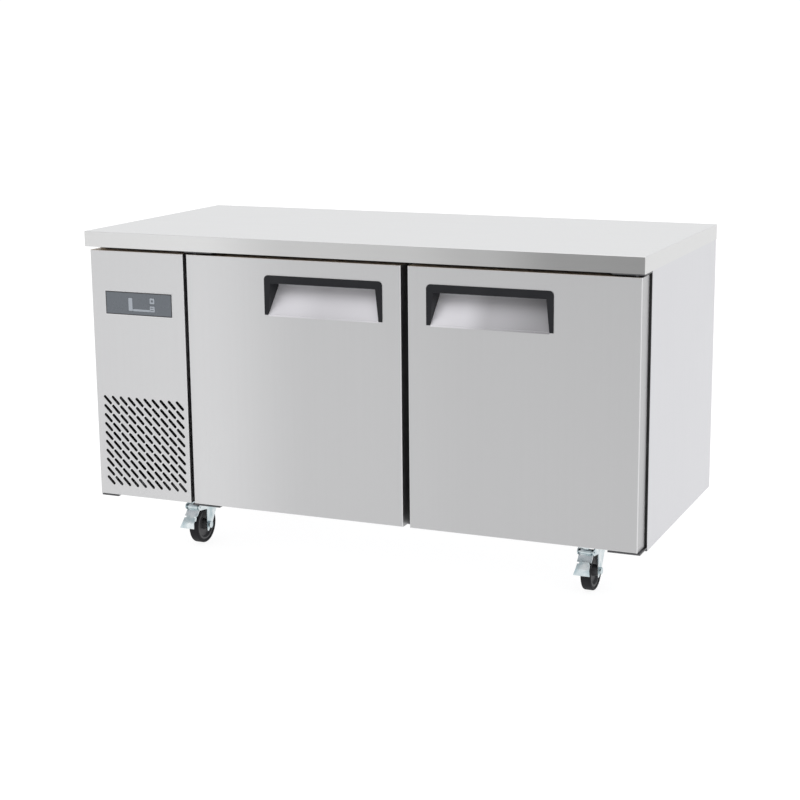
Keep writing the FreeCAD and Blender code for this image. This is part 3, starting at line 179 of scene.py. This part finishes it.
def painted_light_front(name, colour, roughness, grain, stops, side_shade_level=1.0, metallic=1.0,
                front_facing=FRONT_FACING, foot=(0, 1, 1.0)):
    """Brushed sheet with painted light and shade: its forward-facing side is painted lighter or darker
    along X, by (x, level) stops, and it takes a painted shade towards its foot, by (z of the foot, z where
    the change starts, level).
    Its right-hand returns carry a painted shade of their own."""
    steel, grain_tone = brushed_steel(name, colour, roughness, grain, metallic=metallic)
    place = steel.add("ShaderNodeSeparateXYZ")
    steel.link(steel.place, place.inputs[0])
    start, end = stops[0][0], stops[-1][0]
    ramp = steel.add("ShaderNodeValToRGB")
    elements = ramp.color_ramp.elements
    ramp.color_ramp.interpolation = "EASE"
    for at, _ in stops[1:-1]:
        elements.new((at - start) / (end - start))
    for element, (_, level) in zip(elements, stops):
        element.color = (level, level, level, 1)
    steel.link(steel.spread(place.outputs["X"], start, end, 0, 1), ramp.inputs["Fac"])
    facing = steel.add("ShaderNodeSeparateXYZ")
    steel.link(steel.facing, facing.inputs[0])
    front = steel.add("ShaderNodeMix", data_type="RGBA", blend_type="MULTIPLY")
    steel.link(steel.spread(facing.outputs["Y"], *front_facing, 0, 1), front.inputs["Factor"])
    steel.link(grain_tone, front.inputs["A"])
    painted_shading = steel.add("ShaderNodeVectorMath", operation="SCALE")
    foot_low, foot_high, foot_level = foot
    steel.link(ramp.outputs["Color"], painted_shading.inputs[0])
    steel.link(steel.spread(place.outputs["Z"], foot_low, foot_high, foot_level, 1), painted_shading.inputs["Scale"])
    steel.link(painted_shading.outputs[0], front.inputs["B"])
    side = steel.add("ShaderNodeMix", data_type="RGBA", blend_type="MULTIPLY")
    side.inputs["B"].default_value = (side_shade_level, side_shade_level, side_shade_level, 1)
    steel.link(steel.spread(facing.outputs["X"], *RIGHT_FACING, 0, 1), side.inputs["Factor"])
    steel.link(front.outputs["Result"], side.inputs["A"])
    steel.colour(side.outputs["Result"])
    return steel.material


def galvanised(name, colour):
    """Zinc-coated sheet with a faint spangle."""
    zinc = Shader(name, colour, 0.42, 0.85)
    spangle = zinc.cells(210)
    flake = zinc.add("ShaderNodeSeparateColor")
    zinc.link(spangle, flake.inputs["Color"])
    zinc.colour(zinc.tint(flake.outputs["Red"], shade(colour, 0.93), shade(colour, 1.04)))
    zinc.roughness(zinc.spread(flake.outputs["Green"], 0, 1, 0.34, 0.5))
    zinc.bump(zinc.noise(260, 3), 0.00005)
    return zinc.material


def plated_zinc(name, colour):
    """Bright blue-white zinc plating on pressed steel: an uneven cast and small scratches."""
    zinc = Shader(name, colour, 0.25, 1.0)
    cast = zinc.noise(38, 4)
    cool = (colour[0] * 0.58, colour[1] * 0.67, colour[2] * 0.7)
    zinc.colour(zinc.tint(zinc.spread(cast, 0.35, 0.65, 0, 1), colour, cool))
    scratches = zinc.noise(1.0, 3, zinc.stretched((700, 60, 240)), 0.7)
    worn = zinc.spread(scratches, 0.55, 0.75, 0, 0.2)
    zinc.roughness(zinc.total(zinc.vary(cast, 0.14, 0.26), worn))
    zinc.bump(zinc.noise(420, 4), 0.00004)
    return zinc.material


def moulded_plastic(name, colour, roughness, texture=1400, depth=0.00004, dust=0.08, gloss=0.5):
    """Moulded plastic: a fine spark-eroded texture and a little dust."""
    plastic = Shader(name, colour, roughness)
    plastic.surface.inputs["Specular IOR Level"].default_value = gloss
    grain = plastic.noise(texture, 2)
    clouds = plastic.noise(14, 4)
    lighter = tuple(min(1.0, channel + dust * 0.35) for channel in colour)
    plastic.colour(plastic.tint(plastic.spread(clouds, 0.35, 0.75, 0, 1), colour, lighter))
    plastic.roughness(plastic.total(plastic.vary(grain, -0.05, 0.05),
                                    plastic.vary(clouds, roughness - 0.04, roughness + 0.06)))
    plastic.bump(grain, depth)
    return plastic.material


def gloss_panel(name, colour):
    """A printed polycarbonate overlay: smooth, with a soft orange peel and faint smears."""
    panel = Shader(name, colour, 0.24)
    smears = panel.noise(22, 5, rough=0.65)
    panel.roughness(panel.spread(smears, 0.35, 0.7, 0.2, 0.36))
    panel.colour(panel.tint(panel.noise(9, 2), shade(colour, 0.94), shade(colour, 1.06)))
    panel.bump(panel.noise(180, 2), 0.00003)
    panel.surface.inputs["Coat Weight"].default_value = 0.25
    panel.surface.inputs["Coat Roughness"].default_value = 0.12
    return panel.material


def painted(name, colour, roughness, peel=260):
    """Painted steel with an orange peel and dust that settles in clouds."""
    paint = Shader(name, colour, roughness)
    clouds = paint.noise(11, 5)
    dusty = tuple(channel * 0.6 + 0.06 for channel in colour)
    paint.colour(paint.tint(paint.spread(clouds, 0.4, 0.8, 0, 0.6), colour, dusty))
    paint.roughness(paint.vary(clouds, roughness - 0.06, roughness + 0.12))
    paint.bump(paint.noise(peel, 2), 0.00008)
    return paint.material


def rubber(name, colour, roughness, scuff=0.12):
    """Rubber: matt, slightly pitted, greyer where it has scuffed."""
    skin = Shader(name, colour, roughness)
    skin.surface.inputs["Specular IOR Level"].default_value = 0.2
    scuffs = skin.noise(55, 6, rough=0.7)
    grey = tuple(channel + scuff for channel in colour)
    skin.colour(skin.tint(skin.spread(scuffs, 0.45, 0.8, 0, 1), colour, grey))
    skin.roughness(skin.vary(scuffs, roughness - 0.08, roughness + 0.1))
    skin.bump(skin.noise(900, 3), 0.00008)
    return skin.material


def fin_stock(name, colour, roughness):
    """Thin fins: fine cross lines and a dusty cast."""
    fins = Shader(name, colour, roughness, 0.9)
    lines = fins.noise(1.0, 2, fins.stretched((900, 40, 900)))
    dusty = fins.noise(24, 5)
    fins.colour(fins.tint(fins.spread(dusty, 0.35, 0.75, 0, 1), colour, shade(colour, 0.72)))
    fins.roughness(fins.total(fins.vary(lines, -0.06, 0.06),
                              fins.vary(dusty, roughness, roughness + 0.15)))
    fins.bump(lines, 0.0001)
    return fins.material


def copper(name, colour):
    """Drawn copper tube with darker tarnish."""
    tube = Shader(name, colour, 0.32, 1.0)
    tarnish = tube.noise(32, 6, rough=0.7)
    tube.colour(tube.tint(tube.spread(tarnish, 0.4, 0.75, 0, 1), colour, (0.24, 0.12, 0.08)))
    tube.roughness(tube.vary(tarnish, 0.25, 0.5))
    tube.bump(tube.noise(600, 2), 0.00003)
    return tube.material


def foam(name, colour):
    """Cut rigid foam: fine open cells."""
    block = Shader(name, colour, 0.95)
    cells = block.cells(700, "Distance")
    block.colour(block.tint(block.noise(18, 4), shade(colour, 0.9), shade(colour, 1.06)))
    block.roughness(block.spread(cells, 0, 1, 0.9, 1.0))
    block.bump(cells, 0.0003)
    return block.material


# ---------------------------------------------------------------- materials

def along(node_name, fraction):
    """The X coordinate at a fraction of a node's width."""
    low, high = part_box(node_name)
    return low.x + (high.x - low.x) * fraction


def painted_light_stops(*stops):
    """(node, fraction, level) as (x, level)."""
    return [(along(node_name, fraction), level) for node_name, fraction, level in stops]


LENGTHWAYS = (5, 900, 900)
UPRIGHT = (900, 900, 5)
# Painted light and shade on the worktop's front edge: lighter towards its left end, painted darker towards
# its right end.
WORKTOP_PAINTED_LIGHT = painted_light_stops(("worktop", 0, 1.07), ("worktop", 0.22, 1.11), ("worktop", 0.4, 0.885),
                           ("worktop", 0.6, 0.85), ("worktop", 0.73, 0.72), ("worktop", 0.87, 0.5),
                           ("worktop", 1, 0.484))
# Painted shade on the door fronts and the machine panel: darker towards the right.
DOOR_PAINTED_SHADE = painted_light_stops(("machine_front_panel", 0, 0.87), ("machine_front_panel", 1, 0.89),
                        ("door_left_skin", 0.05, 0.92), ("door_left_skin", 0.6, 0.765),
                        ("door_left_skin", 1, 0.76), ("door_right_skin", 0.3, 0.735),
                        ("door_right_skin", 1, 0.73))
# Painted light and shade on the handle scoops' fronts: lighter at the left of each, against the shade of
# the bezel's cheek, and darker towards the right end of the right-hand scoop.
SCOOP_PAINTED_LIGHT = painted_light_stops(("door_left_handle_scoop", 0, 1.12), ("door_left_handle_scoop", 0.2, 1.06),
                         ("door_left_handle_scoop", 0.5, 0.93), ("door_left_handle_scoop", 1, 1.02),
                         ("door_right_handle_scoop", 0, 1.15), ("door_right_handle_scoop", 0.25, 1.05),
                         ("door_right_handle_scoop", 0.5, 0.68), ("door_right_handle_scoop", 1, 0.45))
# Painted shade on the scoops: darker towards their lower edge, over the lower 60% of their height.
scoop_low, scoop_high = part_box("door_left_handle_scoop")
SCOOP_FOOT_SHADE = (scoop_low.z, scoop_low.z + 0.6 * (scoop_high.z - scoop_low.z), 0.68)
MATERIALS = {
    # The worktop's front edge carries painted light and shade along its length.
    "worktop": painted_light_front("worktop_steel", (0.62, 0.62, 0.618), 0.34, LENGTHWAYS, WORKTOP_PAINTED_LIGHT),
    "worktop_core": foam("worktop_board", (0.62, 0.50, 0.36)),
    "cabinet_steel": sheet("cabinet_steel", (0.60, 0.60, 0.62), 0.36, UPRIGHT),
    # Black paint on the front frame and mullion; the black also stands in as painted shade for the dark
    # gaps round the doors.
    "frame_black": painted("frame_paint_and_gap_shade", (0.006, 0.006, 0.0065), 0.6, 700),
    "liner_steel": sheet("liner_steel", (0.58, 0.58, 0.59), 0.38, UPRIGHT),
    "foam": foam("insulation_foam", (0.82, 0.74, 0.50)),
    "galvanised": galvanised("galvanised_sheet", (0.60, 0.61, 0.62)),
    "controller_plastic": moulded_plastic("controller_plastic", (0.03, 0.03, 0.033), 0.5),
    "display_window": gloss_panel("display_overlay", (0.108, 0.122, 0.140)),
    "key_plastic": moulded_plastic("key_plastic", (0.36, 0.39, 0.43), 0.45, 1800, 0.00002, 0.04),
    "compressor_black": painted("compressor_paint", (0.012, 0.012, 0.013), 0.35),
    "coil": fin_stock("coil_fins", (0.62, 0.63, 0.65), 0.4),
    # Black-coated condenser; its black also stands in as painted shade for the darkness seen through the
    # grille slots.
    "condenser_black": painted("condenser_paint_and_slot_shade", (0.012, 0.012, 0.013), 0.55, 500),
    "copper": copper("copper_tube", (0.72, 0.36, 0.24)),
    "motor": painted("motor_paint", (0.03, 0.03, 0.032), 0.4),
    "fan_blade": fin_stock("blade_aluminium", (0.60, 0.61, 0.62), 0.35),
    "evaporator_blade": moulded_plastic("blade_plastic", (0.025, 0.025, 0.027), 0.45),
    "tray_plastic": moulded_plastic("tray_plastic", (0.05, 0.05, 0.053), 0.5),
    "pilaster_steel": sheet("pilaster_steel", (0.68, 0.68, 0.69), 0.35, (900, 900, 8)),
    "shelf_coating": moulded_plastic("shelf_coating", (0.74, 0.75, 0.74), 0.3, 500, 0.00005, 0.02),
    # Dark steel for the front brackets under the panel and doors; its near-black colour is a painted shade
    # for the shadow under the cabinet's lower front edge.
    "hinge_steel": sheet("hinge_steel", (0.10, 0.10, 0.105), 0.36, (12, 700, 700), 0.00005),
    "zinc": plated_zinc("zinc_plate", (0.76, 0.80, 0.81)),
    "wheel_core": moulded_plastic("wheel_plastic", (0.035, 0.035, 0.038), 0.5, 900, 0.00006, 0.12),
    "tyre": rubber("tyre_rubber", (0.007, 0.007, 0.009), 0.62, 0.012),
    "screw_steel": plated_zinc("screw_zinc", (0.70, 0.74, 0.76)),
    # The doors' right-hand returns are given a painted shade, at 0.68 of the front's colour.
    "door_steel": painted_light_front("door_steel", (0.68, 0.68, 0.686), 0.37, UPRIGHT, DOOR_PAINTED_SHADE, 0.68),
    "door_liner": moulded_plastic("door_liner", (0.72, 0.73, 0.74), 0.35, 300, 0.00008, 0.02),
    "gasket": rubber("gasket_rubber", (0.035, 0.036, 0.038), 0.55, 0.03),
    "bezel_plastic": moulded_plastic("bezel_plastic", (0.0055, 0.006, 0.0085), 0.46,
                                     texture=1600, depth=0.00005, dust=0.02, gloss=0.25),
    # The handle scoops carry painted light and shade across and down their fronts.
    "scoop_steel": painted_light_front("scoop_steel", (0.88, 0.865, 0.9), 0.42, LENGTHWAYS, SCOOP_PAINTED_LIGHT,
                               metallic=0.35, front_facing=(-0.4, -0.7), foot=SCOOP_FOOT_SHADE),
}
for node_name, item in frame["nodes"].items():
    finish = MATERIALS[SLOT_OF[node_name]]
    item.data.materials.clear()
    item.data.materials.append(finish)


# ---------------------------------------------------------------- mesh helpers

MERGE_DISTANCE = 0.002 * MM
FLAT_UNDER = 0.6
HARD_FROM = 50
SMOOTH_UNDER = 35

def piece_from(mesh_maker, name, body, slot):
    """A new object from a bmesh, with its material, riding on a body."""
    mesh = bpy.data.meshes.new(name)
    mesh_maker.to_mesh(mesh)
    mesh_maker.free()
    item = bpy.data.objects.new(name, mesh)
    bpy.context.scene.collection.objects.link(item)
    mesh.materials.append(MATERIALS[slot])
    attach(item, body)
    return item


def smooth_by_angle(mesh, degrees):
    """Smooth shading with hard edges above an angle."""
    shape = bmesh.new()
    shape.from_mesh(mesh)
    limit = math.radians(degrees)
    for face in shape.faces:
        face.smooth = True
    for edge in shape.edges:
        edge.smooth = len(edge.link_faces) == 2 and edge.calc_face_angle(0.0) < limit
    shape.to_mesh(mesh)
    shape.free()


def softened(node_name, width):
    """The node's shape with its hard edges rolled over, in place of the CAD node."""
    shape = bmesh.new()
    shape.from_mesh(frame["nodes"][node_name].data)
    bmesh.ops.remove_doubles(shape, verts=shape.verts, dist=MERGE_DISTANCE)
    bmesh.ops.dissolve_limit(shape, angle_limit=math.radians(FLAT_UNDER),
                             verts=shape.verts, edges=shape.edges)
    item = piece_from(shape, f"{node_name}_formed", BODY_OF[node_name], SLOT_OF[node_name])
    bevel = item.modifiers.new("rolled_edges", "BEVEL")
    bevel.width = width
    bevel.segments = 2
    bevel.limit_method = "ANGLE"
    bevel.angle_limit = math.radians(HARD_FROM)
    bevel.use_clamp_overlap = True
    bevel.harden_normals = True
    smooth_by_angle(item.data, SMOOTH_UNDER)
    flat = item.modifiers.new("flat_faces", "WEIGHTED_NORMAL")
    flat.keep_sharp = True
    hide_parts(node_name)
    return item


def roll_front_rim(item, radius):
    """Rounds the outer rim of a sheet front, where the face turns back into its returns."""
    shape = bmesh.new()
    shape.from_mesh(item.data)
    low = Vector([min(vert.co[axis] for vert in shape.verts) for axis in range(3)])
    high = Vector([max(vert.co[axis] for vert in shape.verts) for axis in range(3)])
    close = 0.1 * MM

    def on_rim(edge):
        first, second = (vert.co for vert in edge.verts)
        if max(first.y, second.y) > low.y + close:
            return False
        return any(abs(first[axis] - side[axis]) < close and abs(second[axis] - side[axis]) < close
                   for axis in (0, 2) for side in (low, high))

    rim = [edge for edge in shape.edges if on_rim(edge)]
    bmesh.ops.bevel(shape, geom=rim, offset=radius, segments=4, affect="EDGES", profile=0.5)
    shape.to_mesh(item.data)
    shape.free()
    smooth_by_angle(item.data, SMOOTH_UNDER)


def swept_ring(name, profile, low, high, y, body, slot):
    """A closed profile swept round a rectangle in the XZ plane with mitred corners. Profile points are
    (inwards from the outer edge, forwards from y)."""
    shape = bmesh.new()
    loops = []
    for inward, forward in profile:
        corners = [(low.x + inward, low.z + inward), (high.x - inward, low.z + inward),
                   (high.x - inward, high.z - inward), (low.x + inward, high.z - inward)]
        loops.append([shape.verts.new((x, y + forward, z)) for x, z in corners])
    count = len(profile)
    for first in range(count):
        second = (first + 1) % count
        for corner in range(4):
            after = (corner + 1) % 4
            shape.faces.new((loops[first][corner], loops[first][after],
                             loops[second][after], loops[second][corner]))
    bmesh.ops.recalc_face_normals(shape, faces=shape.faces)
    item = piece_from(shape, name, body, slot)
    smooth_by_angle(item.data, HARD_FROM)
    return item


def slab(name, low, high, body, slot):
    """A thin plate between two corners."""
    shape = bmesh.new()
    corners = [(low.x, low.z), (high.x, low.z), (high.x, high.z), (low.x, high.z)]
    front = shape.faces.new([shape.verts.new((x, low.y, z)) for x, z in corners])
    raised = bmesh.ops.extrude_face_region(shape, geom=[front])
    for vert in [part for part in raised["geom"] if isinstance(part, bmesh.types.BMVert)]:
        vert.co.y = high.y
    bmesh.ops.recalc_face_normals(shape, faces=shape.faces)
    return piece_from(shape, name, body, slot)


# ---------------------------------------------------------------- formed pieces in place of CAD nodes

SHEET_BEND = 2.0 * MM
for node_name in ("machine_front_panel", "door_left_skin", "door_right_skin"):
    roll_front_rim(softened(node_name, 0.3 * MM), SHEET_BEND)
for node_name, width in (
    ("door_left_handle_scoop", 0.4 * MM), ("door_right_handle_scoop", 0.4 * MM),
    ("door_left_handle_bezel", 1.0 * MM), ("door_right_handle_bezel", 1.0 * MM),
    ("display_window", 0.3 * MM), ("key_set", 0.5 * MM), ("key_up", 0.5 * MM), ("key_down", 0.5 * MM),
    ("cabinet_shell", 0.5 * MM), ("front_brackets", 0.5 * MM), ("caster_plates", 0.5 * MM),
    ("evaporator_cover", 0.5 * MM), ("mullion", 0.4 * MM), ("machine_back_panel", 0.4 * MM),
):
    softened(node_name, width)
for node_name in frame["nodes"]:
    if node_name.startswith("caster_") and node_name != "caster_plates":
        softened(node_name, 0.4 * MM)

# The magnetic seal: a soft bellows between the liner and a flat magnet strip.
SEAL_LIP = 0.8 * MM
SEAL_WIDTH = 18 * MM
SEAL_FOLD = 2.2 * MM


def seal_profile(depth):
    """The bellows in section: a foot, two bulges with a fold between them, and the magnet strip."""
    width = SEAL_WIDTH
    return [(width * 0.12, 0), (width * 0.12, depth * 0.18), (0, depth * 0.3), (0, depth * 0.36),
            (width * 0.14, depth * 0.48), (0, depth * 0.62), (0, depth * 0.9), (SEAL_LIP, depth),
            (width - SEAL_LIP, depth), (width, depth * 0.9), (width, depth * 0.62),
            (width - SEAL_FOLD, depth * 0.48), (width, depth * 0.36), (width, depth * 0.3),
            (width * 0.88, depth * 0.18), (width * 0.88, 0)]


for side in ("left", "right"):
    node_name = f"door_{side}_gasket"
    low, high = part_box(node_name)
    liner_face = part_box(f"door_{side}_liner")[1].y
    seal = swept_ring(f"door_{side}_seal", seal_profile(high.y - liner_face), low, high, liner_face,
                      f"door_{side}", "gasket")
    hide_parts(node_name)

# ---------------------------------------------------------------- controller display

# The printed line on the overlay joins the feet of the two key columns. A thin bright lip runs round the
# opening in the panel, a dark border round the overlay, and the two small keys carry marks.
window_low, window_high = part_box("display_window")
set_low, set_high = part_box("key_set")
up_low, up_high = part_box("key_up")
down_low, down_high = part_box("key_down")
LINE_THICKNESS = 5 * MM
KEY_CLEARANCE = 0.5 * MM
PRINT_PROUD = 0.15 * MM
slab("display_line", Vector((set_high.x + KEY_CLEARANCE, window_low.y - PRINT_PROUD, set_low.z)),
     Vector((down_low.x - KEY_CLEARANCE, window_low.y + PRINT_PROUD, set_low.z + LINE_THICKNESS)),
     "cabinet", "key_plastic")

RIM_WIDTH = 1.8 * MM
RIM_PROUD = 0.5 * MM
panel_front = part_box("machine_front_panel")[0].y
rim_profile = [(0, 0), (0, -RIM_PROUD * 0.6), (RIM_WIDTH * 0.3, -RIM_PROUD),
               (RIM_WIDTH, -RIM_PROUD * 0.8), (RIM_WIDTH, 0)]
WINDOW_GAP = 0.3 * MM
reach = Vector((RIM_WIDTH + WINDOW_GAP, 0, RIM_WIDTH + WINDOW_GAP))
swept_ring("display_rim", rim_profile, window_low - reach, window_high + reach, panel_front,
           "cabinet", "pilaster_steel")

BORDER_WIDTH = 2.4 * MM
border_profile = [(0, PRINT_PROUD), (0, 0), (BORDER_WIDTH, 0), (BORDER_WIDTH, PRINT_PROUD)]
swept_ring("display_border", border_profile, window_low, window_high, window_low.y - PRINT_PROUD / 2,
           "cabinet", "controller_plastic")

MARK_PROUD = 0.1 * MM
MARK_HALF = 3 * MM
BAR_HALF = 1 * MM
BAR_START = 2 * MM
BAR_END = 3 * MM
up_middle = (up_low + up_high) / 2
slab("key_up_mark", Vector((up_middle.x - MARK_HALF, up_low.y - MARK_PROUD, up_middle.z - MARK_HALF)),
     Vector((up_middle.x + MARK_HALF, up_low.y + MARK_PROUD, up_middle.z + MARK_HALF)),
     "key_up", "display_window")
down_middle = (down_low + down_high) / 2
for step in (-1, 1):
    level = down_middle.z + step * MARK_HALF
    slab(f"key_down_mark_{step + 2}",
         Vector((down_low.x + BAR_START, down_low.y - MARK_PROUD, level - BAR_HALF)),
         Vector((down_high.x - BAR_END, down_low.y + MARK_PROUD, level + BAR_HALF)),
         "key_down", "display_window")

# ---------------------------------------------------------------- floor, camera and light

FLOOR_HALF_SIZE = 60
FLOOR_CELLS = 40
floor_mesh = bmesh.new()
bmesh.ops.create_grid(floor_mesh, x_segments=FLOOR_CELLS, y_segments=FLOOR_CELLS, size=FLOOR_HALF_SIZE)
floor_data = bpy.data.meshes.new("floor")
floor_mesh.to_mesh(floor_data)
floor_mesh.free()
floor = bpy.data.objects.new("floor", floor_data)
bpy.context.scene.collection.objects.link(floor)
ground = Shader("studio_floor", (0.16, 0.16, 0.16), 0.9)
ground.roughness(ground.spread(ground.noise(3, 3), 0, 1, 0.85, 0.95))
ground.surface.inputs["Emission Color"].default_value = (1, 1, 1, 1)
ground.surface.inputs["Emission Strength"].default_value = 0.9
floor_data.materials.append(ground.material)

# The camera, set so that the object's straight edges run as they do in the reference view; the focal
# length is for a 36 mm sensor, the angles are in degrees.
CAMERA_AT = Vector((1.770, -4.060, 1.360))
CAMERA_YAW = 22.48
CAMERA_PITCH = -11.82
CAMERA_ROLL = -0.33
FOCAL_LENGTH = 76.42
FRAME_SHIFT = (-0.0448, -0.0208)
camera_data = bpy.data.cameras.new("camera")
camera_data.lens = FOCAL_LENGTH
camera_data.shift_x, camera_data.shift_y = FRAME_SHIFT
camera_data.clip_end = 2 * FLOOR_HALF_SIZE
camera = bpy.data.objects.new("camera", camera_data)
bpy.context.scene.collection.objects.link(camera)
camera.location = CAMERA_AT
camera.rotation_mode = "XYZ"
yaw = math.radians(CAMERA_YAW)
pitch = math.radians(CAMERA_PITCH)
ahead = Vector((-math.sin(yaw) * math.cos(pitch), math.cos(yaw) * math.cos(pitch), math.sin(pitch)))
look = ahead.to_track_quat("-Z", "Y").to_matrix().to_4x4()
roll = math.radians(CAMERA_ROLL)
turned = look @ Matrix.Rotation(roll, 4, "Z")
camera.rotation_euler = turned.to_euler("XYZ")
bpy.context.scene.camera = camera

bpy.context.scene.view_settings.view_transform = "Standard"


# One large soft light overhead, aimed at the middle of the object.
LIGHT_AT = Vector((0.3, 0.2, 4.2))
LIGHT_TARGET = Vector((0, 0, 0.5))
LIGHT_SIZE = (5, 4)
LIGHT_POWER = 40
light = bpy.data.lights.new("top_box", "AREA")
light.shape = "RECTANGLE"
light.size, light.size_y = LIGHT_SIZE
light.energy = LIGHT_POWER
top_box = bpy.data.objects.new("top_box", light)
top_box.location = LIGHT_AT
top_box.rotation_euler = (LIGHT_TARGET - LIGHT_AT).to_track_quat("-Z", "Y").to_euler()
bpy.context.scene.collection.objects.link(top_box)

# A white room that falls off to dark on the camera's side, under a bright ceiling. Angles in degrees.
CEILING_FROM = 12
CEILING_FULL = 38
DARK_CENTRE = -8
DARK_HALF_WIDTH = 12
BRIGHT_FROM = 46
DARK_LEVEL = 0.25
BRIGHT_LEVEL = 1.08
world = bpy.data.worlds.new("studio")
bpy.context.scene.world = world
world.use_nodes = True
room = world.node_tree
coordinates = room.nodes.new("ShaderNodeTexCoord")
split = room.nodes.new("ShaderNodeSeparateXYZ")
room.links.new(coordinates.outputs["Generated"], split.inputs[0])


def room_math(operation, first, second):
    item = room.nodes.new("ShaderNodeMath")
    item.operation = operation
    for slot_index, value in enumerate((first, second)):
        if isinstance(value, (int, float)):
            item.inputs[slot_index].default_value = value
        else:
            room.links.new(value, item.inputs[slot_index])
    return item.outputs[0]


def room_ramp(value, start, full):
    """A soft step towards the bright level; returns its node, whose lower level is still to be set."""
    item = room.nodes.new("ShaderNodeMapRange")
    item.interpolation_type = "SMOOTHSTEP"
    item.inputs["From Min"].default_value = start
    item.inputs["From Max"].default_value = full
    item.inputs["To Max"].default_value = BRIGHT_LEVEL
    room.links.new(value, item.inputs["Value"])
    return item


leftwards = room_math("MULTIPLY", split.outputs["X"], -1)
forwards = room_math("MULTIPLY", split.outputs["Y"], -1)
azimuth = room_math("ARCTAN2", leftwards, forwards)
offset = room_math("SUBTRACT", azimuth, math.radians(DARK_CENTRE))
distance = room_math("ABSOLUTE", offset, 0)
fall = room_ramp(distance, math.radians(DARK_HALF_WIDTH), math.radians(BRIGHT_FROM))
fall.inputs["To Min"].default_value = DARK_LEVEL
overhead = room_ramp(split.outputs["Z"], math.sin(math.radians(CEILING_FROM)),
                     math.sin(math.radians(CEILING_FULL)))
room.links.new(fall.outputs["Result"], overhead.inputs["To Min"])
background = room.nodes["Background"]
background.inputs["Color"].default_value = (0.985, 0.99, 1, 1)
room.links.new(overhead.outputs["Result"], background.inputs["Strength"])
